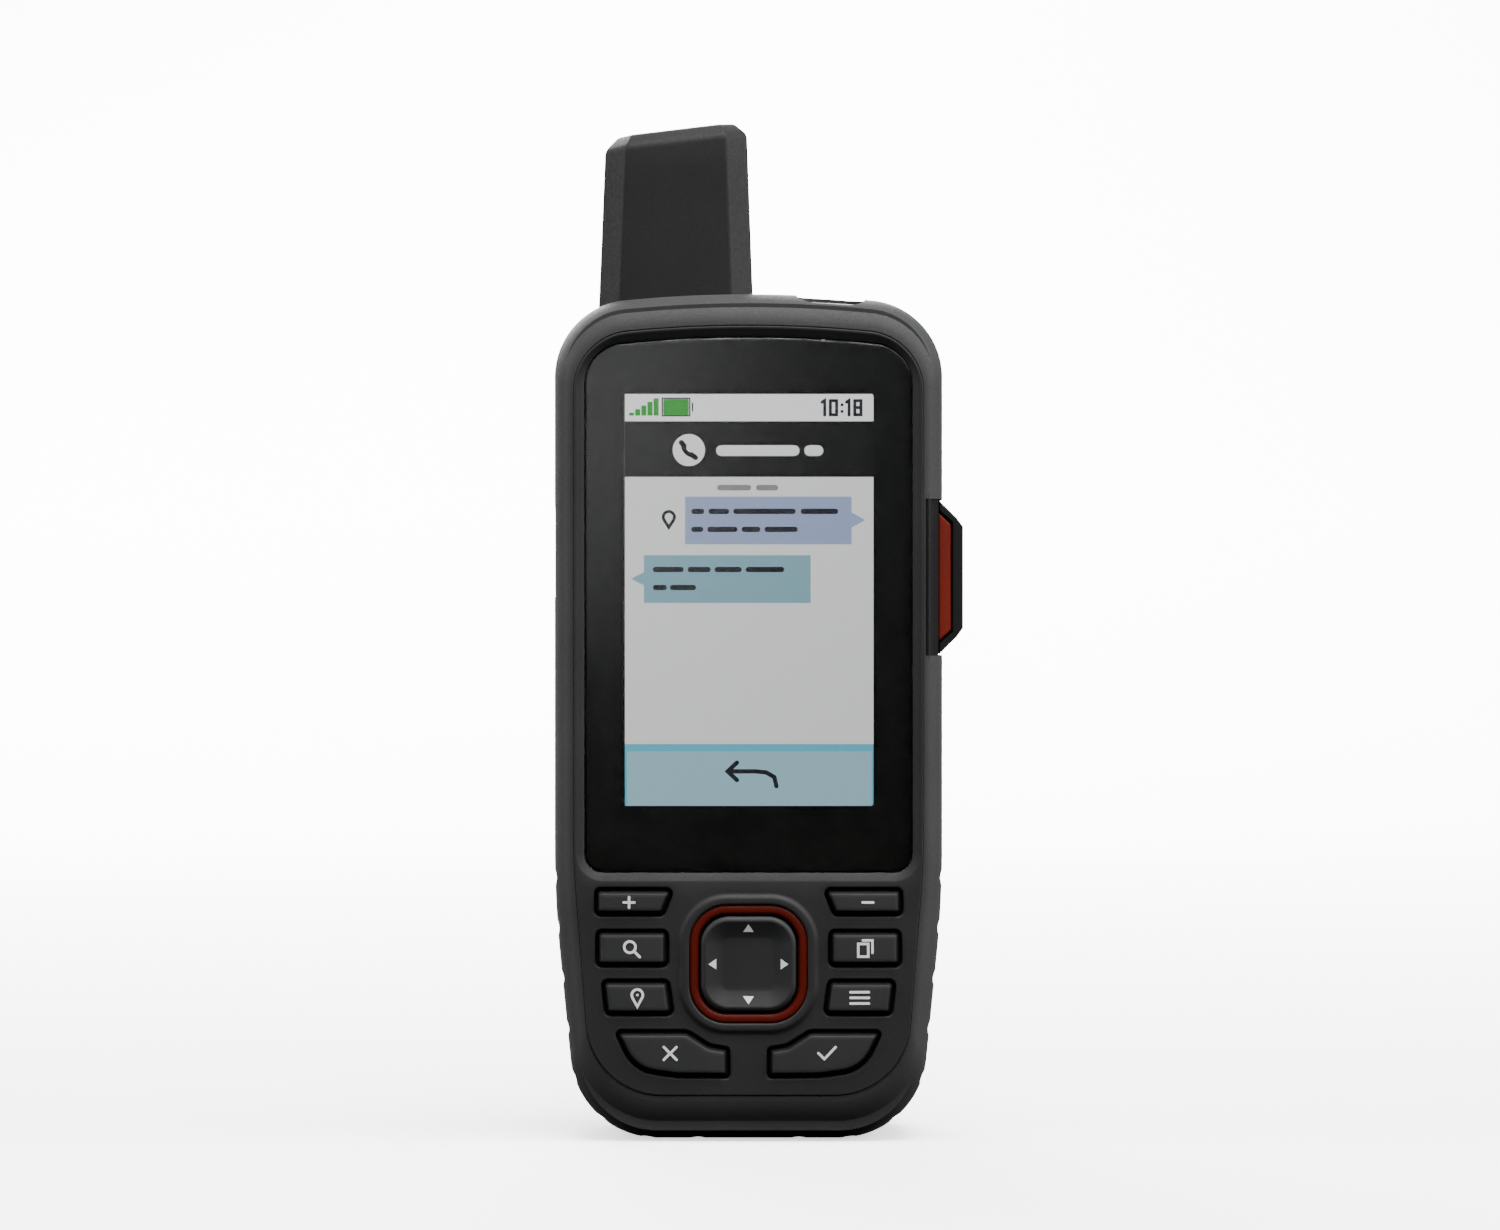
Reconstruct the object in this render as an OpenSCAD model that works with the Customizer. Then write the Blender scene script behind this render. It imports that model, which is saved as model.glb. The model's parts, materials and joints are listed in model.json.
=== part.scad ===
// Handheld navigator: a rugged case with a stub antenna, a recessed display, eight keys,
// a square rocker, a guarded emergency switch and a battery door with a folding ring.
// X runs to the right, Y from the front to the back and Z up. The case stands on Z = 0.

/* [Case] */
// Width of the case across the bumper
case_width = 62; // [58:0.5:70]
// Height of the case at the crown of its top edge
case_height = 134.9; // [125:0.5:160]
// Radius of the two upper corners
top_corner_r = 12.4; // [8:0.2:14]
// Radius of the two lower corners
bottom_corner_r = 14; // [10:0.2:16]
// Height where the sides start to draw in towards the foot
waist_z = 38; // [30:1:45]
// How far each side would have drawn in at the foot line
foot_draw_in = 3.8; // [1:0.1:5]
// Slope of the two halves of the crowned top edge
crown_slope = 0.09; // [0.04:0.01:0.12]

/* [Shells] */
// Depth position of the front panel's face
panel_y = -17; // [-17.5:0.1:-16.5]
// Depth position of the rear face
rear_y = 15; // [14.5:0.1:16]
// Depth position of the seam between the shells
seam_y = -1; // [-1.5:0.1:-0.8]
// Thickness of the rubber bumper on the flanks
bumper_wall = 1.8; // [1.6:0.1:2.2]
// Thickness of the plastic walls
shell_wall = 2.35; // [2:0.05:2.6]
// Number of grip grooves on each side
groove_pairs = 8; // [4:1:9]
// Spacing of the grip grooves along the edge
groove_pitch = 8.05; // [7:0.05:9]

/* [Display] */
// Width of the lit picture
picture_width = 39.5; // [36:0.5:40]
// Height of the lit picture
picture_height = 65.4; // [60:0.5:66]
// Height of the picture's centre
picture_z = 86; // [84:0.5:88]
// Thickness of the window glass
glass_t = 1.2; // [0.8:0.1:1.2]

/* [Keys] */
// How far a key goes down
key_travel = 0.6; // [0.3:0.05:0.65]
// Gap between a key and its opening
key_gap = 0.25; // [0.15:0.05:0.3]
// Width of the rocker's opening
rocker_width = 18.8; // [17:0.2:19.4]
// Height of the rocker's centre
rocker_z = 28.3; // [28:0.1:28.6]
// Width of the red trim ring's band
trim_width = 1.5; // [1:0.1:1.8]

/* [Antenna] */
// Width of the antenna at its foot
antenna_width = 25; // [22:0.5:25]
// Depth of the antenna at its foot
antenna_depth = 20.4; // [18:0.4:21]
// How far the antenna's high corner stands above the crown
antenna_rise = 28.1; // [18:0.1:45]
// How much lower the outer corner is
antenna_slant = 2.7; // [0:0.1:4]
// Wall of the antenna cover
antenna_wall = 1.8; // [1.2:0.1:2]

/* [Emergency switch] */
// Height of the switch's centre
sos_z = 89.6; // [88:0.2:90]
// Length of the red guard at its foot
sos_length = 21.4; // [20:0.2:22]
// How far the switch goes down
sos_travel = 0.8; // [0.4:0.1:0.9]

/* [Battery door] */
// Half width of the door
door_half = 22; // [21:0.1:22]
// Lower edge of the door
door_low = 10.4; // [10:0.1:10.8]
// Upper edge of the door
door_high = 100.8; // [80:0.2:101]
// Thickness of the door
door_t = 1.8; // [1.6:0.1:2]
// Height of the quarter-turn lock
lock_z = 19.5; // [19.3:0.1:19.7]
// Radius of the lock's flange
lock_r = 8.2; // [7.6:0.1:8.4]

/* [Hidden] */
$fn = 48;
eps = 0.01;
fit_gap = 0.05; // assembly gap between pieces that touch
half = case_width / 2;
arc_steps = 8;

// ---- outlines: lists of [x, z, corner radius, arc steps], anticlockwise from the front ----

crown_r = 200;
crown_lift = crown_r * (1 / cos(atan(crown_slope)) - 1);
apex_z = case_height + crown_lift;
case_corners = [
    [half - foot_draw_in, 0, bottom_corner_r, arc_steps],
    [half, waist_z, 180, 3],
    [half, apex_z - crown_slope * half, top_corner_r, arc_steps],
    [0, apex_z, crown_r, 6],
    [-half, apex_z - crown_slope * half, top_corner_r, arc_steps],
    [-half, waist_z, 180, 3],
    [foot_draw_in - half, 0, bottom_corner_r, arc_steps]
];

panel_half = half - 3.3; // the panel stops short of the flanks
panel_foot = 7.5; // and stays above the foot
panel_drop = 5.5; // and below the crown
panel_apex = apex_z - panel_drop;
panel_corners = [
    [panel_half - 2.9, panel_foot, 12, arc_steps],
    [panel_half, waist_z + 7, 150, 3],
    [panel_half, panel_apex - crown_slope * panel_half, 9.5, arc_steps],
    [0, panel_apex, crown_r, 6],
    [-panel_half, panel_apex - crown_slope * panel_half, 9.5, arc_steps],
    [-panel_half, waist_z + 7, 150, 3],
    [2.9 - panel_half, panel_foot, 12, arc_steps]
];

glass_border = 1.65; // panel left outside the glass
glass_half = panel_half - glass_border;
glass_apex = panel_apex - glass_border;
glass_foot = 42.7;
glass_corners = [
    [glass_half, glass_foot, 3, 5],
    [glass_half, glass_apex - crown_slope * glass_half, 6.5, 6],
    [0, glass_apex, crown_r, 6],
    [-glass_half, glass_apex - crown_slope * glass_half, 6.5, 6],
    [-glass_half, glass_foot, 3, 5]
];

function box_corners(x, z0, z1, r, steps = 5) =
    [[x, z0, r, steps], [x, z1, r, steps], [-x, z1, r, steps], [-x, z0, r, steps]];

// ---- depths, front to back ----

plate_front = panel_y + 1.6; // the plate that carries the panel
plate_back = panel_y + 2.8;
glass_y = panel_y + 0.55;
seat_y = glass_y + glass_t + 0.2; // ledge that the glass is glued to
display_y = plate_back + 0.1;
panel_glass_t = 1.6;
backlight_t = 1.2;
chassis_back = display_y + panel_glass_t + backlight_t + 0.5;
board_front = chassis_back + 0.4;
board_t = 1;
board_back = board_front + board_t;
bay_floor_y = board_back + 3.2;
bay_inside_y = bay_floor_y + 1.2;
plate_rear_y = rear_y - 3; // inside of the rear plate
door_seat_y = rear_y - 1.6; // recess that the door lies in
shoulder_front_y = -9.5; // the flanks are straight from here
shoulder_back_y = 11;
bumper_front_y = panel_y + 0.3;
bumper_back_y = rear_y - 0.2;
bumper_back_inset = 3.6;

// ---- keys: outline of each opening on the right-hand side ----

rocker_half = rocker_width / 2;
key_in = rocker_half + 2.1; // the keys start this far out, beside the rocker
key_out = panel_half - 3.2; // and end short of the panel's edge
zoom_corners = [
    [key_in + 1.9, 35.8, 1, 3], [key_out, 35.8, 1, 3], [key_out, 40.4, 1, 3], [key_in, 40.4, 1, 3]
];
find_corners = [
    [key_in + 1.1, 27.7, 1.1, 3], [key_out - 0.2, 27.7, 1.1, 3],
    [key_out - 0.2, 33.8, 1.1, 3], [key_in + 1.1, 33.8, 1.1, 3]
];
mark_corners = [
    [key_in + 0.2, 20, 1.1, 3], [key_out - 1.7, 20, 1.1, 3],
    [key_out - 1, 25.9, 1.1, 3], [key_in + 1, 25.9, 1.1, 3]
];
quit_corners = [
    [2.9, 10.1, 0.7, 3], [11.5, 10.2, 10, 3], [18.3, 11.2, 6.5, 5], [21.6, 17.9, 0.9, 4],
    [9.6, 17.9, 2.5, 3], [6, 15.6, 2.5, 3], [2.9, 15.1, 0.8, 3]
];
key_outlines = [zoom_corners, find_corners, mark_corners, quit_corners];
key_mid = (key_in + key_out) / 2;
key_centres = [[key_mid + 0.6, 38.1], [key_mid + 0.5, 30.75], [key_mid - 0.4, 23], [12.2, 13.9]];
key_top_y = panel_y - 0.5;
key_bevel = 0.95; // slope of a key's side, seen from the front
flange_out = 0.75; // the flange behind the opening, past its edge
flange_y = plate_back + 0.1;
flange_t = 0.8;
dome_h = 0.5;
stem_tip_y = board_front - dome_h - key_travel - 0.1;
membrane_back_y = flange_y + flange_t;

rocker_r = 6;
cap_half = rocker_half - trim_width - 0.35;
pivot_y = board_front - 2;
pivot_r = 1.2;
arrow_reach = 5.9; // from the rocker's centre to each arrow
rocker_tilt = 3;
rocker_stem_y = board_front - dome_h - arrow_reach * sin(rocker_tilt) - 0.06;

// ---- antenna ----

antenna_x = -half + 6.85 + antenna_width / 2; // middle of the antenna
antenna_foot_z = case_height - 4.5;
antenna_top = case_height + antenna_rise;
antenna_bevel = 3.4;
antenna_draft = 1.3; // how much each side leans in over the height
seat_t = 2.2; // shelf in the case under the antenna
former_r = 6.6;
former_z = [antenna_foot_z + 2.1, antenna_top - 6.5];
antenna_screw_x = antenna_width / 2 - 4.2;
lead_r = 0.7;
lead_y = 3;
lead_end_y = -6.2;

// ---- screws, bosses ----

screw_r = 1;
boss_r = 2.4;
screw_head_r = 2;
side_screw_x = half - 6.4;
screw_points = [
    for (s = [-1, 1]) each [[s * side_screw_x, 50], [s * side_screw_x, case_height - 20.9], [s * 11, 7]]
];
screw_tip_y = -10;

// ---- emergency switch ----

sos_frame_x = half - 3.1;
sos_deck_x = half - 0.8; // top of the frame
sos_top_x = half + 1.3; // top of the red guard
sos_cap_x = half + 3.2; // top of the lid
sos_front_y = -12.8;
sos_back_y = 1.2;
sos_frame_back_y = 5.8;
sos_half = sos_length / 2;
sos_frame_half = sos_half + 2.3;
sos_window_half = sos_half - 1.5; // opening in the case behind the guard
sos_pin = [half + 0.6, 4.3];
sos_pin_r = 0.7;
sos_barrel_r = 1.25;
sos_ear_z = [sos_half - 3.2, sos_half - 0.4]; // distance of each ear from the middle
sos_button_half = [4, sos_half - 3.7]; // half size across Y and along Z
sos_button_y = -5.8;
sos_switch_x = half - 6.4; // face of the switch on the board

// ---- connector on the left flank ----

usb_y = board_back + 1.6;
usb_z = 94;
usb_cap_half = [3.9, 7.4];
usb_plug_half = [2.6, 4.8];
usb_bead_r = 0.8;
usb_axis = [-half + 0.95, usb_z - usb_cap_half.y + usb_bead_r];
usb_port_x = -half + 4.6; // mouth of the connector

// ---- battery bay, door and lock ----

door_z = [door_low, door_high];
bay_half = door_half - 1.8;
bay_wall = 1.7;
bay_z = [lock_z + 11.1, door_z[1] - 2.4];
door_back_y = rear_y + 0.3;
door_front_y = door_back_y - door_t;
door_gap = 0.2;
lock_pocket_r = 9.2;
lock_pocket_y = 9.2;
lip_y = plate_rear_y; // underside of the catch that the cam goes behind
lock_flange_y = [rear_y - 0.6, rear_y + 1.2];
shaft_r = 3.6;
cam_y = [lip_y - 1.6, lip_y - 0.3];
cam_half = [8.4, 1.8];
ring_r = [4.9, 6.9];
ring_t = 1.2;
ring_y = lock_flange_y[1] - 0.6;
island_r = 4.4;
power_x = 13.1;
power_y = -9;
power_half = [5.25, 5];
power_stem_y = -7.6;
power_floor_z = case_height - 3.4; // floor of the button's pocket
power_travel = 0.5;
spine_z = [case_height - 30.9, case_height - 8.9];
spine_head = [6, 1.5]; // half width and thickness of the rail's head
spine_neck = 3.5;

// ---- geometry helpers ----

function unit(v) = v / norm(v);
function left_of(v) = [-v.y, v.x];
function turned(v, a) = [v.x * cos(a) - v.y * sin(a), v.x * sin(a) + v.y * cos(a)];
function wrap(i, n) = (i + n) % n;
function point(c) = [c[0], c[1]];

// corner i of an outline after every side has moved inwards by d
function inset_corner(c, i, d) =
    let (
        n = len(c),
        p = left_of(unit(point(c[i]) - point(c[wrap(i - 1, n)]))),
        q = left_of(unit(point(c[wrap(i + 1, n)]) - point(c[i])))
    ) point(c[i]) + d * (p + q) / (1 + p * q);

// points of one rounded corner
function corner_arc(before, at, after, r, steps, convex_offset) =
    let (
        u = unit(at - before),
        v = unit(after - at),
        side = cross(u, v) >= 0 ? 1 : -1,
        angle = acos(min(1, u * v)),
        room = min(norm(at - before), norm(after - at)) * 0.98,
        wanted = max(r - side * convex_offset, 0.3),
        radius = min(wanted, room / max(tan(angle / 2), 0.001)),
        start = at - u * radius * tan(angle / 2),
        centre = start + left_of(u) * radius * side
    ) [for (k = [0:steps]) centre + turned(-left_of(u) * radius * side, side * angle * k / steps)];

// the outline's points, with every side moved inwards by d
function outline(c, d = 0) =
    [
        for (i = [0:len(c) - 1])
            let (n = len(c))
                each corner_arc(
                    inset_corner(c, wrap(i - 1, n), d), inset_corner(c, i, d), inset_corner(c, wrap(i + 1, n), d),
                    c[i][2], c[i][3], d
                )
    ];
function at_depth(points, y) = [for (p = points) [p.x, y, p.y]];
function mix(a, b, t) = [for (i = [0:len(a) - 1]) a[i] * (1 - t) + b[i] * t];
function shifted(c, dx, dz) = [for (p = c) [p[0] + dx, p[1] + dz, p[2], p[3]]];

// faces between rings of equal length; closed joins the last ring to the first, otherwise both ends get a cap
function ring_faces(n, m, closed) =
    [
        for (j = [0:m - (closed ? 1 : 2)])
            for (i = [0:n - 1])
                let (
                    a = j * n + i,
                    b = j * n + (i + 1) % n,
                    c = ((j + 1) % m) * n + (i + 1) % n,
                    d = ((j + 1) % m) * n + i
                ) each [[a, b, c], [a, c, d]]
    ];
module loft(rings) {
    n = len(rings[0]);
    m = len(rings);
    polyhedron(
        points = [for (r = rings) each r],
        faces = concat([[for (i = [n - 1:-1:0]) i]], ring_faces(n, m, false), [[for (i = [0:n - 1]) (m - 1) * n + i]])
    );
}
module hoop(rings) {
    polyhedron(points = [for (r = rings) each r], faces = ring_faces(len(rings[0]), len(rings), true));
}

// a flat outline given thickness from y0 to y1
module slab(points, y0, y1) {
    translate([0, y1, 0]) rotate([90, 0, 0]) linear_extrude(y1 - y0) polygon(points);
}
module rod_y(x, z, r, y0, y1, fn = 48) {
    translate([x, y1, z]) rotate([90, 0, 0]) cylinder(r = r, h = y1 - y0, $fn = fn);
}
module rod_x(y, z, r, x0, x1) {
    translate([x0, y, z]) rotate([0, 90, 0]) cylinder(r = r, h = x1 - x0);
}
module rod_z(x, y, r, z0, z1) {
    translate([x, y, z0]) cylinder(r = r, h = z1 - z0);
}
module block(x0, x1, y0, y1, z0, z1) {
    translate([x0, y0, z0]) cube([x1 - x0, y1 - y0, z1 - z0]);
}
// a rounded plate facing X: centre [y, z], half size [y, z], radius of its upper and lower corners
module flank_plate(centre, half_size, r, r_low, x0, x1) {
    translate([x0, centre.x, centre.y]) rotate([90, 0, 90]) linear_extrude(x1 - x0)
        polygon(outline([
            [half_size.x, -half_size.y, r_low, 5], [half_size.x, half_size.y, r, 5],
            [-half_size.x, half_size.y, r, 5], [-half_size.x, -half_size.y, r_low, 5]
        ]));
}
module mirror_if(on) {
    if (on) mirror([1, 0, 0]) children();
    else children();
}

// ---- the case ----

// rings of the bumper's outer skin, front to back, grown outwards by g
function skin_rings(g = 0) =
    concat(
        [
            for (k = [0:5])
                at_depth(
                    mix(outline(panel_corners, fit_gap - g), outline(case_corners, -g), sin(18 * k)),
                    shoulder_front_y - g * (1 - k / 5) - (shoulder_front_y - bumper_front_y) * cos(18 * k)
                )
        ],
        [
            for (k = [0:4])
                at_depth(
                    outline(case_corners, bumper_back_inset * (1 - cos(22.5 * k)) - g),
                    shoulder_back_y + (bumper_back_y - shoulder_back_y + g) * sin(22.5 * k)
                )
        ]
    );
module skirt(y0, y1, d0, d1) {
    difference() {
        slab(outline(case_corners, d0), y0, y1);
        slab(outline(case_corners, d1), y0 - 1, y1 + 1);
    }
}
shell_inset = bumper_wall + fit_gap;
inner_inset = shell_inset + shell_wall;

// the seal's band between the shells, which dips below the antenna; grown by g on both sides
module seal_area(inset, drop) {
    difference() {
        polygon(outline(case_corners, inset));
        translate([-half, antenna_foot_z - 0.9 - drop])
            square([half + antenna_x + antenna_width / 2 + 1.2 + drop, 20]);
    }
}
module seal_band(g) {
    difference() {
        seal_area(shell_inset + 0.6 - g, -g);
        seal_area(shell_inset + 1.6 + g, 1 + g);
    }
}

// the recesses that the antenna, switch and connector need in shells and bumper
module antenna_room() {
    block(
        antenna_x - antenna_width / 2 - 0.2, antenna_x + antenna_width / 2 + 0.2,
        -antenna_depth / 2 - 0.2, antenna_depth / 2 + 0.2, antenna_foot_z - 0.4, case_height + 2
    );
}
module antenna_shelf(y0, y1) {
    block(
        antenna_x - antenna_width / 2 - 0.6, antenna_x + antenna_width / 2 + 3.4,
        max(y0, -antenna_depth / 2 - 1.4), min(y1, antenna_depth / 2 + 1.4),
        antenna_foot_z - 0.4 - seat_t, antenna_foot_z - 0.4
    );
}
// holes for the antenna's lead and screws, grown by g
module antenna_holes(g) {
    rod_z(antenna_x, lead_y, lead_r + 1.3 + g, antenna_foot_z - 4, antenna_foot_z + 3);
    for (s = [-1, 1])
        rod_z(antenna_x + s * antenna_screw_x, lead_y, screw_r + g, antenna_foot_z - 4, antenna_foot_z + 3);
}
module sos_room() {
    block(
        sos_frame_x - fit_gap, half + 2, panel_y + 0.35, sos_frame_back_y + fit_gap,
        sos_z - sos_frame_half - fit_gap, sos_z + sos_frame_half + fit_gap
    );
    block(sos_frame_x - 3, half, -11, 0, sos_z - sos_window_half, sos_z + sos_window_half);
}
module usb_room() {
    flank_plate([usb_y, usb_z], usb_cap_half + [0.12, 0.12], 2.5, 0.4, -half - 1, usb_axis.x + usb_bead_r + 0.05);
    flank_plate([usb_y, usb_z + 0.6], usb_plug_half + [0.2, 0.8], 0.8, 0.8, -half - 1, -half + 7);
}

module front_housing() {
    color([0.15, 0.15, 0.16]) difference() {
        union() {
            slab(outline(case_corners, shell_inset), plate_front, plate_back);
            slab(outline(panel_corners), panel_y, plate_back);
            skirt(plate_front, seam_y, shell_inset, inner_inset);
            for (p = screw_points)
                rod_y(p.x, p.y, boss_r, plate_back - eps, seam_y - 0.1);
            antenna_shelf(-20, seam_y);
        }
        loft([at_depth(outline(glass_corners, -1.3), panel_y - 0.05), at_depth(outline(glass_corners, 0), glass_y)]);
        slab(outline(glass_corners, -0.08), glass_y - 0.1, seat_y);
        slab(outline(box_corners(picture_width / 2 + 0.7, picture_z - picture_height / 2 - 0.7,
            picture_z + picture_height / 2 + 0.7, 1)), seat_y - 1, plate_back + 1);
        for (side = [-1, 1])
            for (k = key_outlines)
                mirror_if(side < 0) slab(outline(k), panel_y - 1, plate_back + 1);
        slab(outline(shifted(box_corners(rocker_half, -rocker_half, rocker_half, rocker_r), 0, rocker_z)),
            panel_y - 1, plate_back + 1);
        for (p = screw_points)
            rod_y(p.x, p.y, screw_r + 0.02, screw_tip_y - 0.5, seam_y + 1);
        antenna_room();
        sos_room();
        usb_room();
        translate([power_x, power_y, power_floor_z]) linear_extrude(8)
            polygon(outline(box_corners(power_half.x + 0.25, -power_half.y - 0.25, power_half.y + 0.25, 3)));
        rod_z(power_x, power_stem_y, 2.45, power_floor_z - 1, power_floor_z + 1);
        rod_z(power_x, power_stem_y, 1.65, power_floor_z - 5, power_floor_z);
    }
}

module rear_housing() {
    color([0.13, 0.13, 0.14]) difference() {
        union() {
            slab(outline(case_corners, shell_inset), plate_rear_y, door_seat_y);
            slab(outline(case_corners, bumper_back_inset + fit_gap), plate_rear_y, rear_y);
            skirt(seam_y, door_seat_y, shell_inset, inner_inset);
            block(-bay_half - bay_wall, bay_half + bay_wall, bay_floor_y, plate_rear_y + eps,
                bay_z[0] - bay_wall, bay_z[1] + bay_wall);
            rod_y(0, lock_z, lock_pocket_r + 1.2, lock_pocket_y - 1.2, plate_rear_y + eps);
            for (p = screw_points)
                rod_y(p.x, p.y, boss_r, seam_y, plate_rear_y + eps);
            for (x = [-17, 17])
                for (z = [40, 90])
                    rod_y(x, z, 1.5, board_back + fit_gap, bay_floor_y + eps);
            antenna_shelf(seam_y, 20);
        }
        slab(outline(box_corners(bay_half, bay_z[0], bay_z[1], 1.5)), bay_inside_y, rear_y + 1);
        slab(outline(door_corners(), -door_gap), door_seat_y, rear_y + 1);
        rod_y(0, lock_z, lock_pocket_r, lock_pocket_y, lip_y);
        rod_y(0, lock_z, 6.2, lip_y - 1, rear_y);
        block(-cam_half.x - 0.4, cam_half.x + 0.4, lip_y - 1, rear_y, lock_z - cam_half.y - 0.25,
            lock_z + cam_half.y + 0.25);
        gasket_groove();
        translate([0, seam_y + 0.8, 0]) rotate([90, 0, 0]) linear_extrude(2) seal_band(0.05);
        for (p = screw_points) {
            rod_y(p.x, p.y, screw_r + 0.15, seam_y - 1, rear_y + 1);
            rod_y(p.x, p.y, screw_head_r + 0.15, rear_y - 1.15, rear_y + 1);
        }
        block(-8.05, 8.05, rear_y - 1.4, rear_y + 1, spine_z[0] - 1.05, spine_z[1] + 1.05);
        for (z = [spine_z[0] + 4, spine_z[1] - 4])
            rod_y(0, z, screw_r + 0.02, rear_y - 6, rear_y);
        for (x = [-4, 0, 4])
            rod_z(x, 4, 0.85, bay_z[0] - bay_wall - 1, bay_z[0] + 1);
        antenna_room();
        antenna_holes(0.15);
        sos_room();
    }
}
function door_corners() =
    [
        [door_half, door_z[0], 11, 7], [door_half, door_z[1], 4, 5],
        [-door_half, door_z[1], 4, 5], [-door_half, door_z[0], 11, 7]
    ];
module slab_ring(c, y0, y1, d0, d1) {
    difference() {
        slab(outline(c, d0), y0, y1);
        slab(outline(c, d1), y0 - 1, y1 + 1);
    }
}
module gasket_groove() {
    slab_ring(box_corners(bay_half + 1.4, bay_z[0] - 1.4, bay_z[1] + 1.4, 2.5), door_seat_y - 0.5, rear_y, 0, 0.9);
}

module groove(x, z) {
    translate([x, 13, z]) rotate([90, 0, 0]) cylinder(r = 2.2, h = 26, $fn = 24);
}
// point and outward angle at distance s along the edge, from the middle of the foot
function edge_run(s) =
    let (
        lean = atan(foot_draw_in / waist_z),
        flat_run = half - foot_draw_in - bottom_corner_r * tan((90 - lean) / 2),
        arc = 90 - lean,
        arc_run = bottom_corner_r * arc * PI / 180,
        a = (s - flat_run) / bottom_corner_r * 180 / PI
    )
    s < flat_run ? [s, 0, 0]
    : s < flat_run + arc_run ? [flat_run + bottom_corner_r * sin(a), bottom_corner_r * (1 - cos(a)), a]
    : let (
        x0 = flat_run + bottom_corner_r * sin(arc),
        z0 = bottom_corner_r * (1 - cos(arc)),
        up = s - flat_run - arc_run
    ) [min(half, x0 + up * sin(lean)), z0 + up * cos(lean), z0 + up * cos(lean) > waist_z ? 90 : arc];
module grip_bumper() {
    color([0.2, 0.2, 0.2]) difference() {
        hoop(concat(
            [at_depth(outline(panel_corners, -fit_gap), plate_front - fit_gap)],
            [at_depth(outline(panel_corners, -fit_gap), bumper_front_y - 0.02)],
            [for (i = [1:len(skin_rings()) - 1]) skin_rings()[i]],
            [at_depth(outline(case_corners, bumper_back_inset), door_seat_y + fit_gap)],
            [at_depth(outline(case_corners, bumper_wall), door_seat_y + fit_gap)],
            [at_depth(outline(case_corners, bumper_wall), plate_front - fit_gap)]
        ));
        for (side = [-1, 1])
            for (k = [1:groove_pairs])
                let (p = edge_run(k * groove_pitch), out = 1.85)
                    groove(side * (p[0] + out * sin(p[2])), p[1] - out * cos(p[2]));
        antenna_room();
        block(sos_frame_x - fit_gap, half + 2, panel_y, sos_frame_back_y + fit_gap,
            sos_z - sos_frame_half - fit_gap, sos_z + sos_frame_half + fit_gap);
        usb_room();
        translate([power_x, power_y, power_floor_z]) linear_extrude(8)
            polygon(outline(box_corners(power_half.x + 0.25, -power_half.y - 0.25, power_half.y + 0.25, 3)));
    }
}
module case_gasket() {
    color([0.25, 0.25, 0.26]) difference() {
        translate([0, seam_y + 0.75, 0]) rotate([90, 0, 0]) linear_extrude(0.7) seal_band(0);
        sos_room();
    }
}
module cap_screw(x, z, y_head, y_tip, head_r) {
    difference() {
        union() {
            rod_y(x, z, head_r, y_head - 1, y_head);
            rod_y(x, z, screw_r, y_tip, y_head - 1 + eps);
        }
        rod_y(x, z, head_r * 0.5, y_head - 0.6, y_head + 1, 6);
    }
}
module case_screws() {
    color([0.35, 0.35, 0.37]) for (p = screw_points) cap_screw(p.x, p.y, rear_y - 0.1, screw_tip_y, screw_head_r);
}

// ---- window and display ----

module window_glass() {
    color([0.05, 0.05, 0.06]) slab(outline(glass_corners), glass_y, glass_y + glass_t);
}
module framed_film(outer_inset, border, y0, y1) {
    difference() {
        slab(outline(glass_corners, outer_inset), y0, y1);
        slab(outline(box_corners(picture_width / 2 + border, picture_z - picture_height / 2 - border,
            picture_z + picture_height / 2 + border, 0.6)), y0 - 1, y1 + 1);
    }
}
module window_mask() {
    color([0.03, 0.03, 0.03]) framed_film(0.1, 0.1, glass_y + glass_t + 0.01, glass_y + glass_t + 0.1);
}
module window_adhesive() {
    color([0.6, 0.6, 0.6]) framed_film(0.4, 1, glass_y + glass_t + 0.11, seat_y - 0.01);
}
module display_box(x, grow, y0, y1) {
    block(-x, x, y0, y1, picture_z - 38 - grow, picture_z + 36 + grow);
}
module display_panel() {
    color([0.7, 0.75, 0.78]) display_box(21.4, 0, display_y, display_y + panel_glass_t);
}
module display_backlight() {
    color([0.9, 0.9, 0.88])
        display_box(21.4, 0, display_y + panel_glass_t + 0.05, display_y + panel_glass_t + backlight_t);
}
module display_chassis() {
    color([0.65, 0.66, 0.68]) difference() {
        display_box(22, 0.6, display_y + 0.3, chassis_back);
        display_box(21.5, 0.1, display_y - 1, chassis_back - 0.45);
        block(-6.5, 6.5, display_y - 1, display_y + 2.9, picture_z - 40, picture_z - 37);
    }
}
module display_flex() {
    y = display_y + 1;
    z = picture_z - 38.05;
    connector_y = board_front - 1.3;
    color([0.75, 0.5, 0.15]) translate([-6, 0, 0]) rotate([90, 0, 90]) linear_extrude(12) polygon([
        [y, z], [y, z - 3.6], [connector_y, z - 3.6], [connector_y, z - 3.35], [y + 0.25, z - 3.35], [y + 0.25, z]
    ]);
}

// ---- electronics ----

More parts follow.
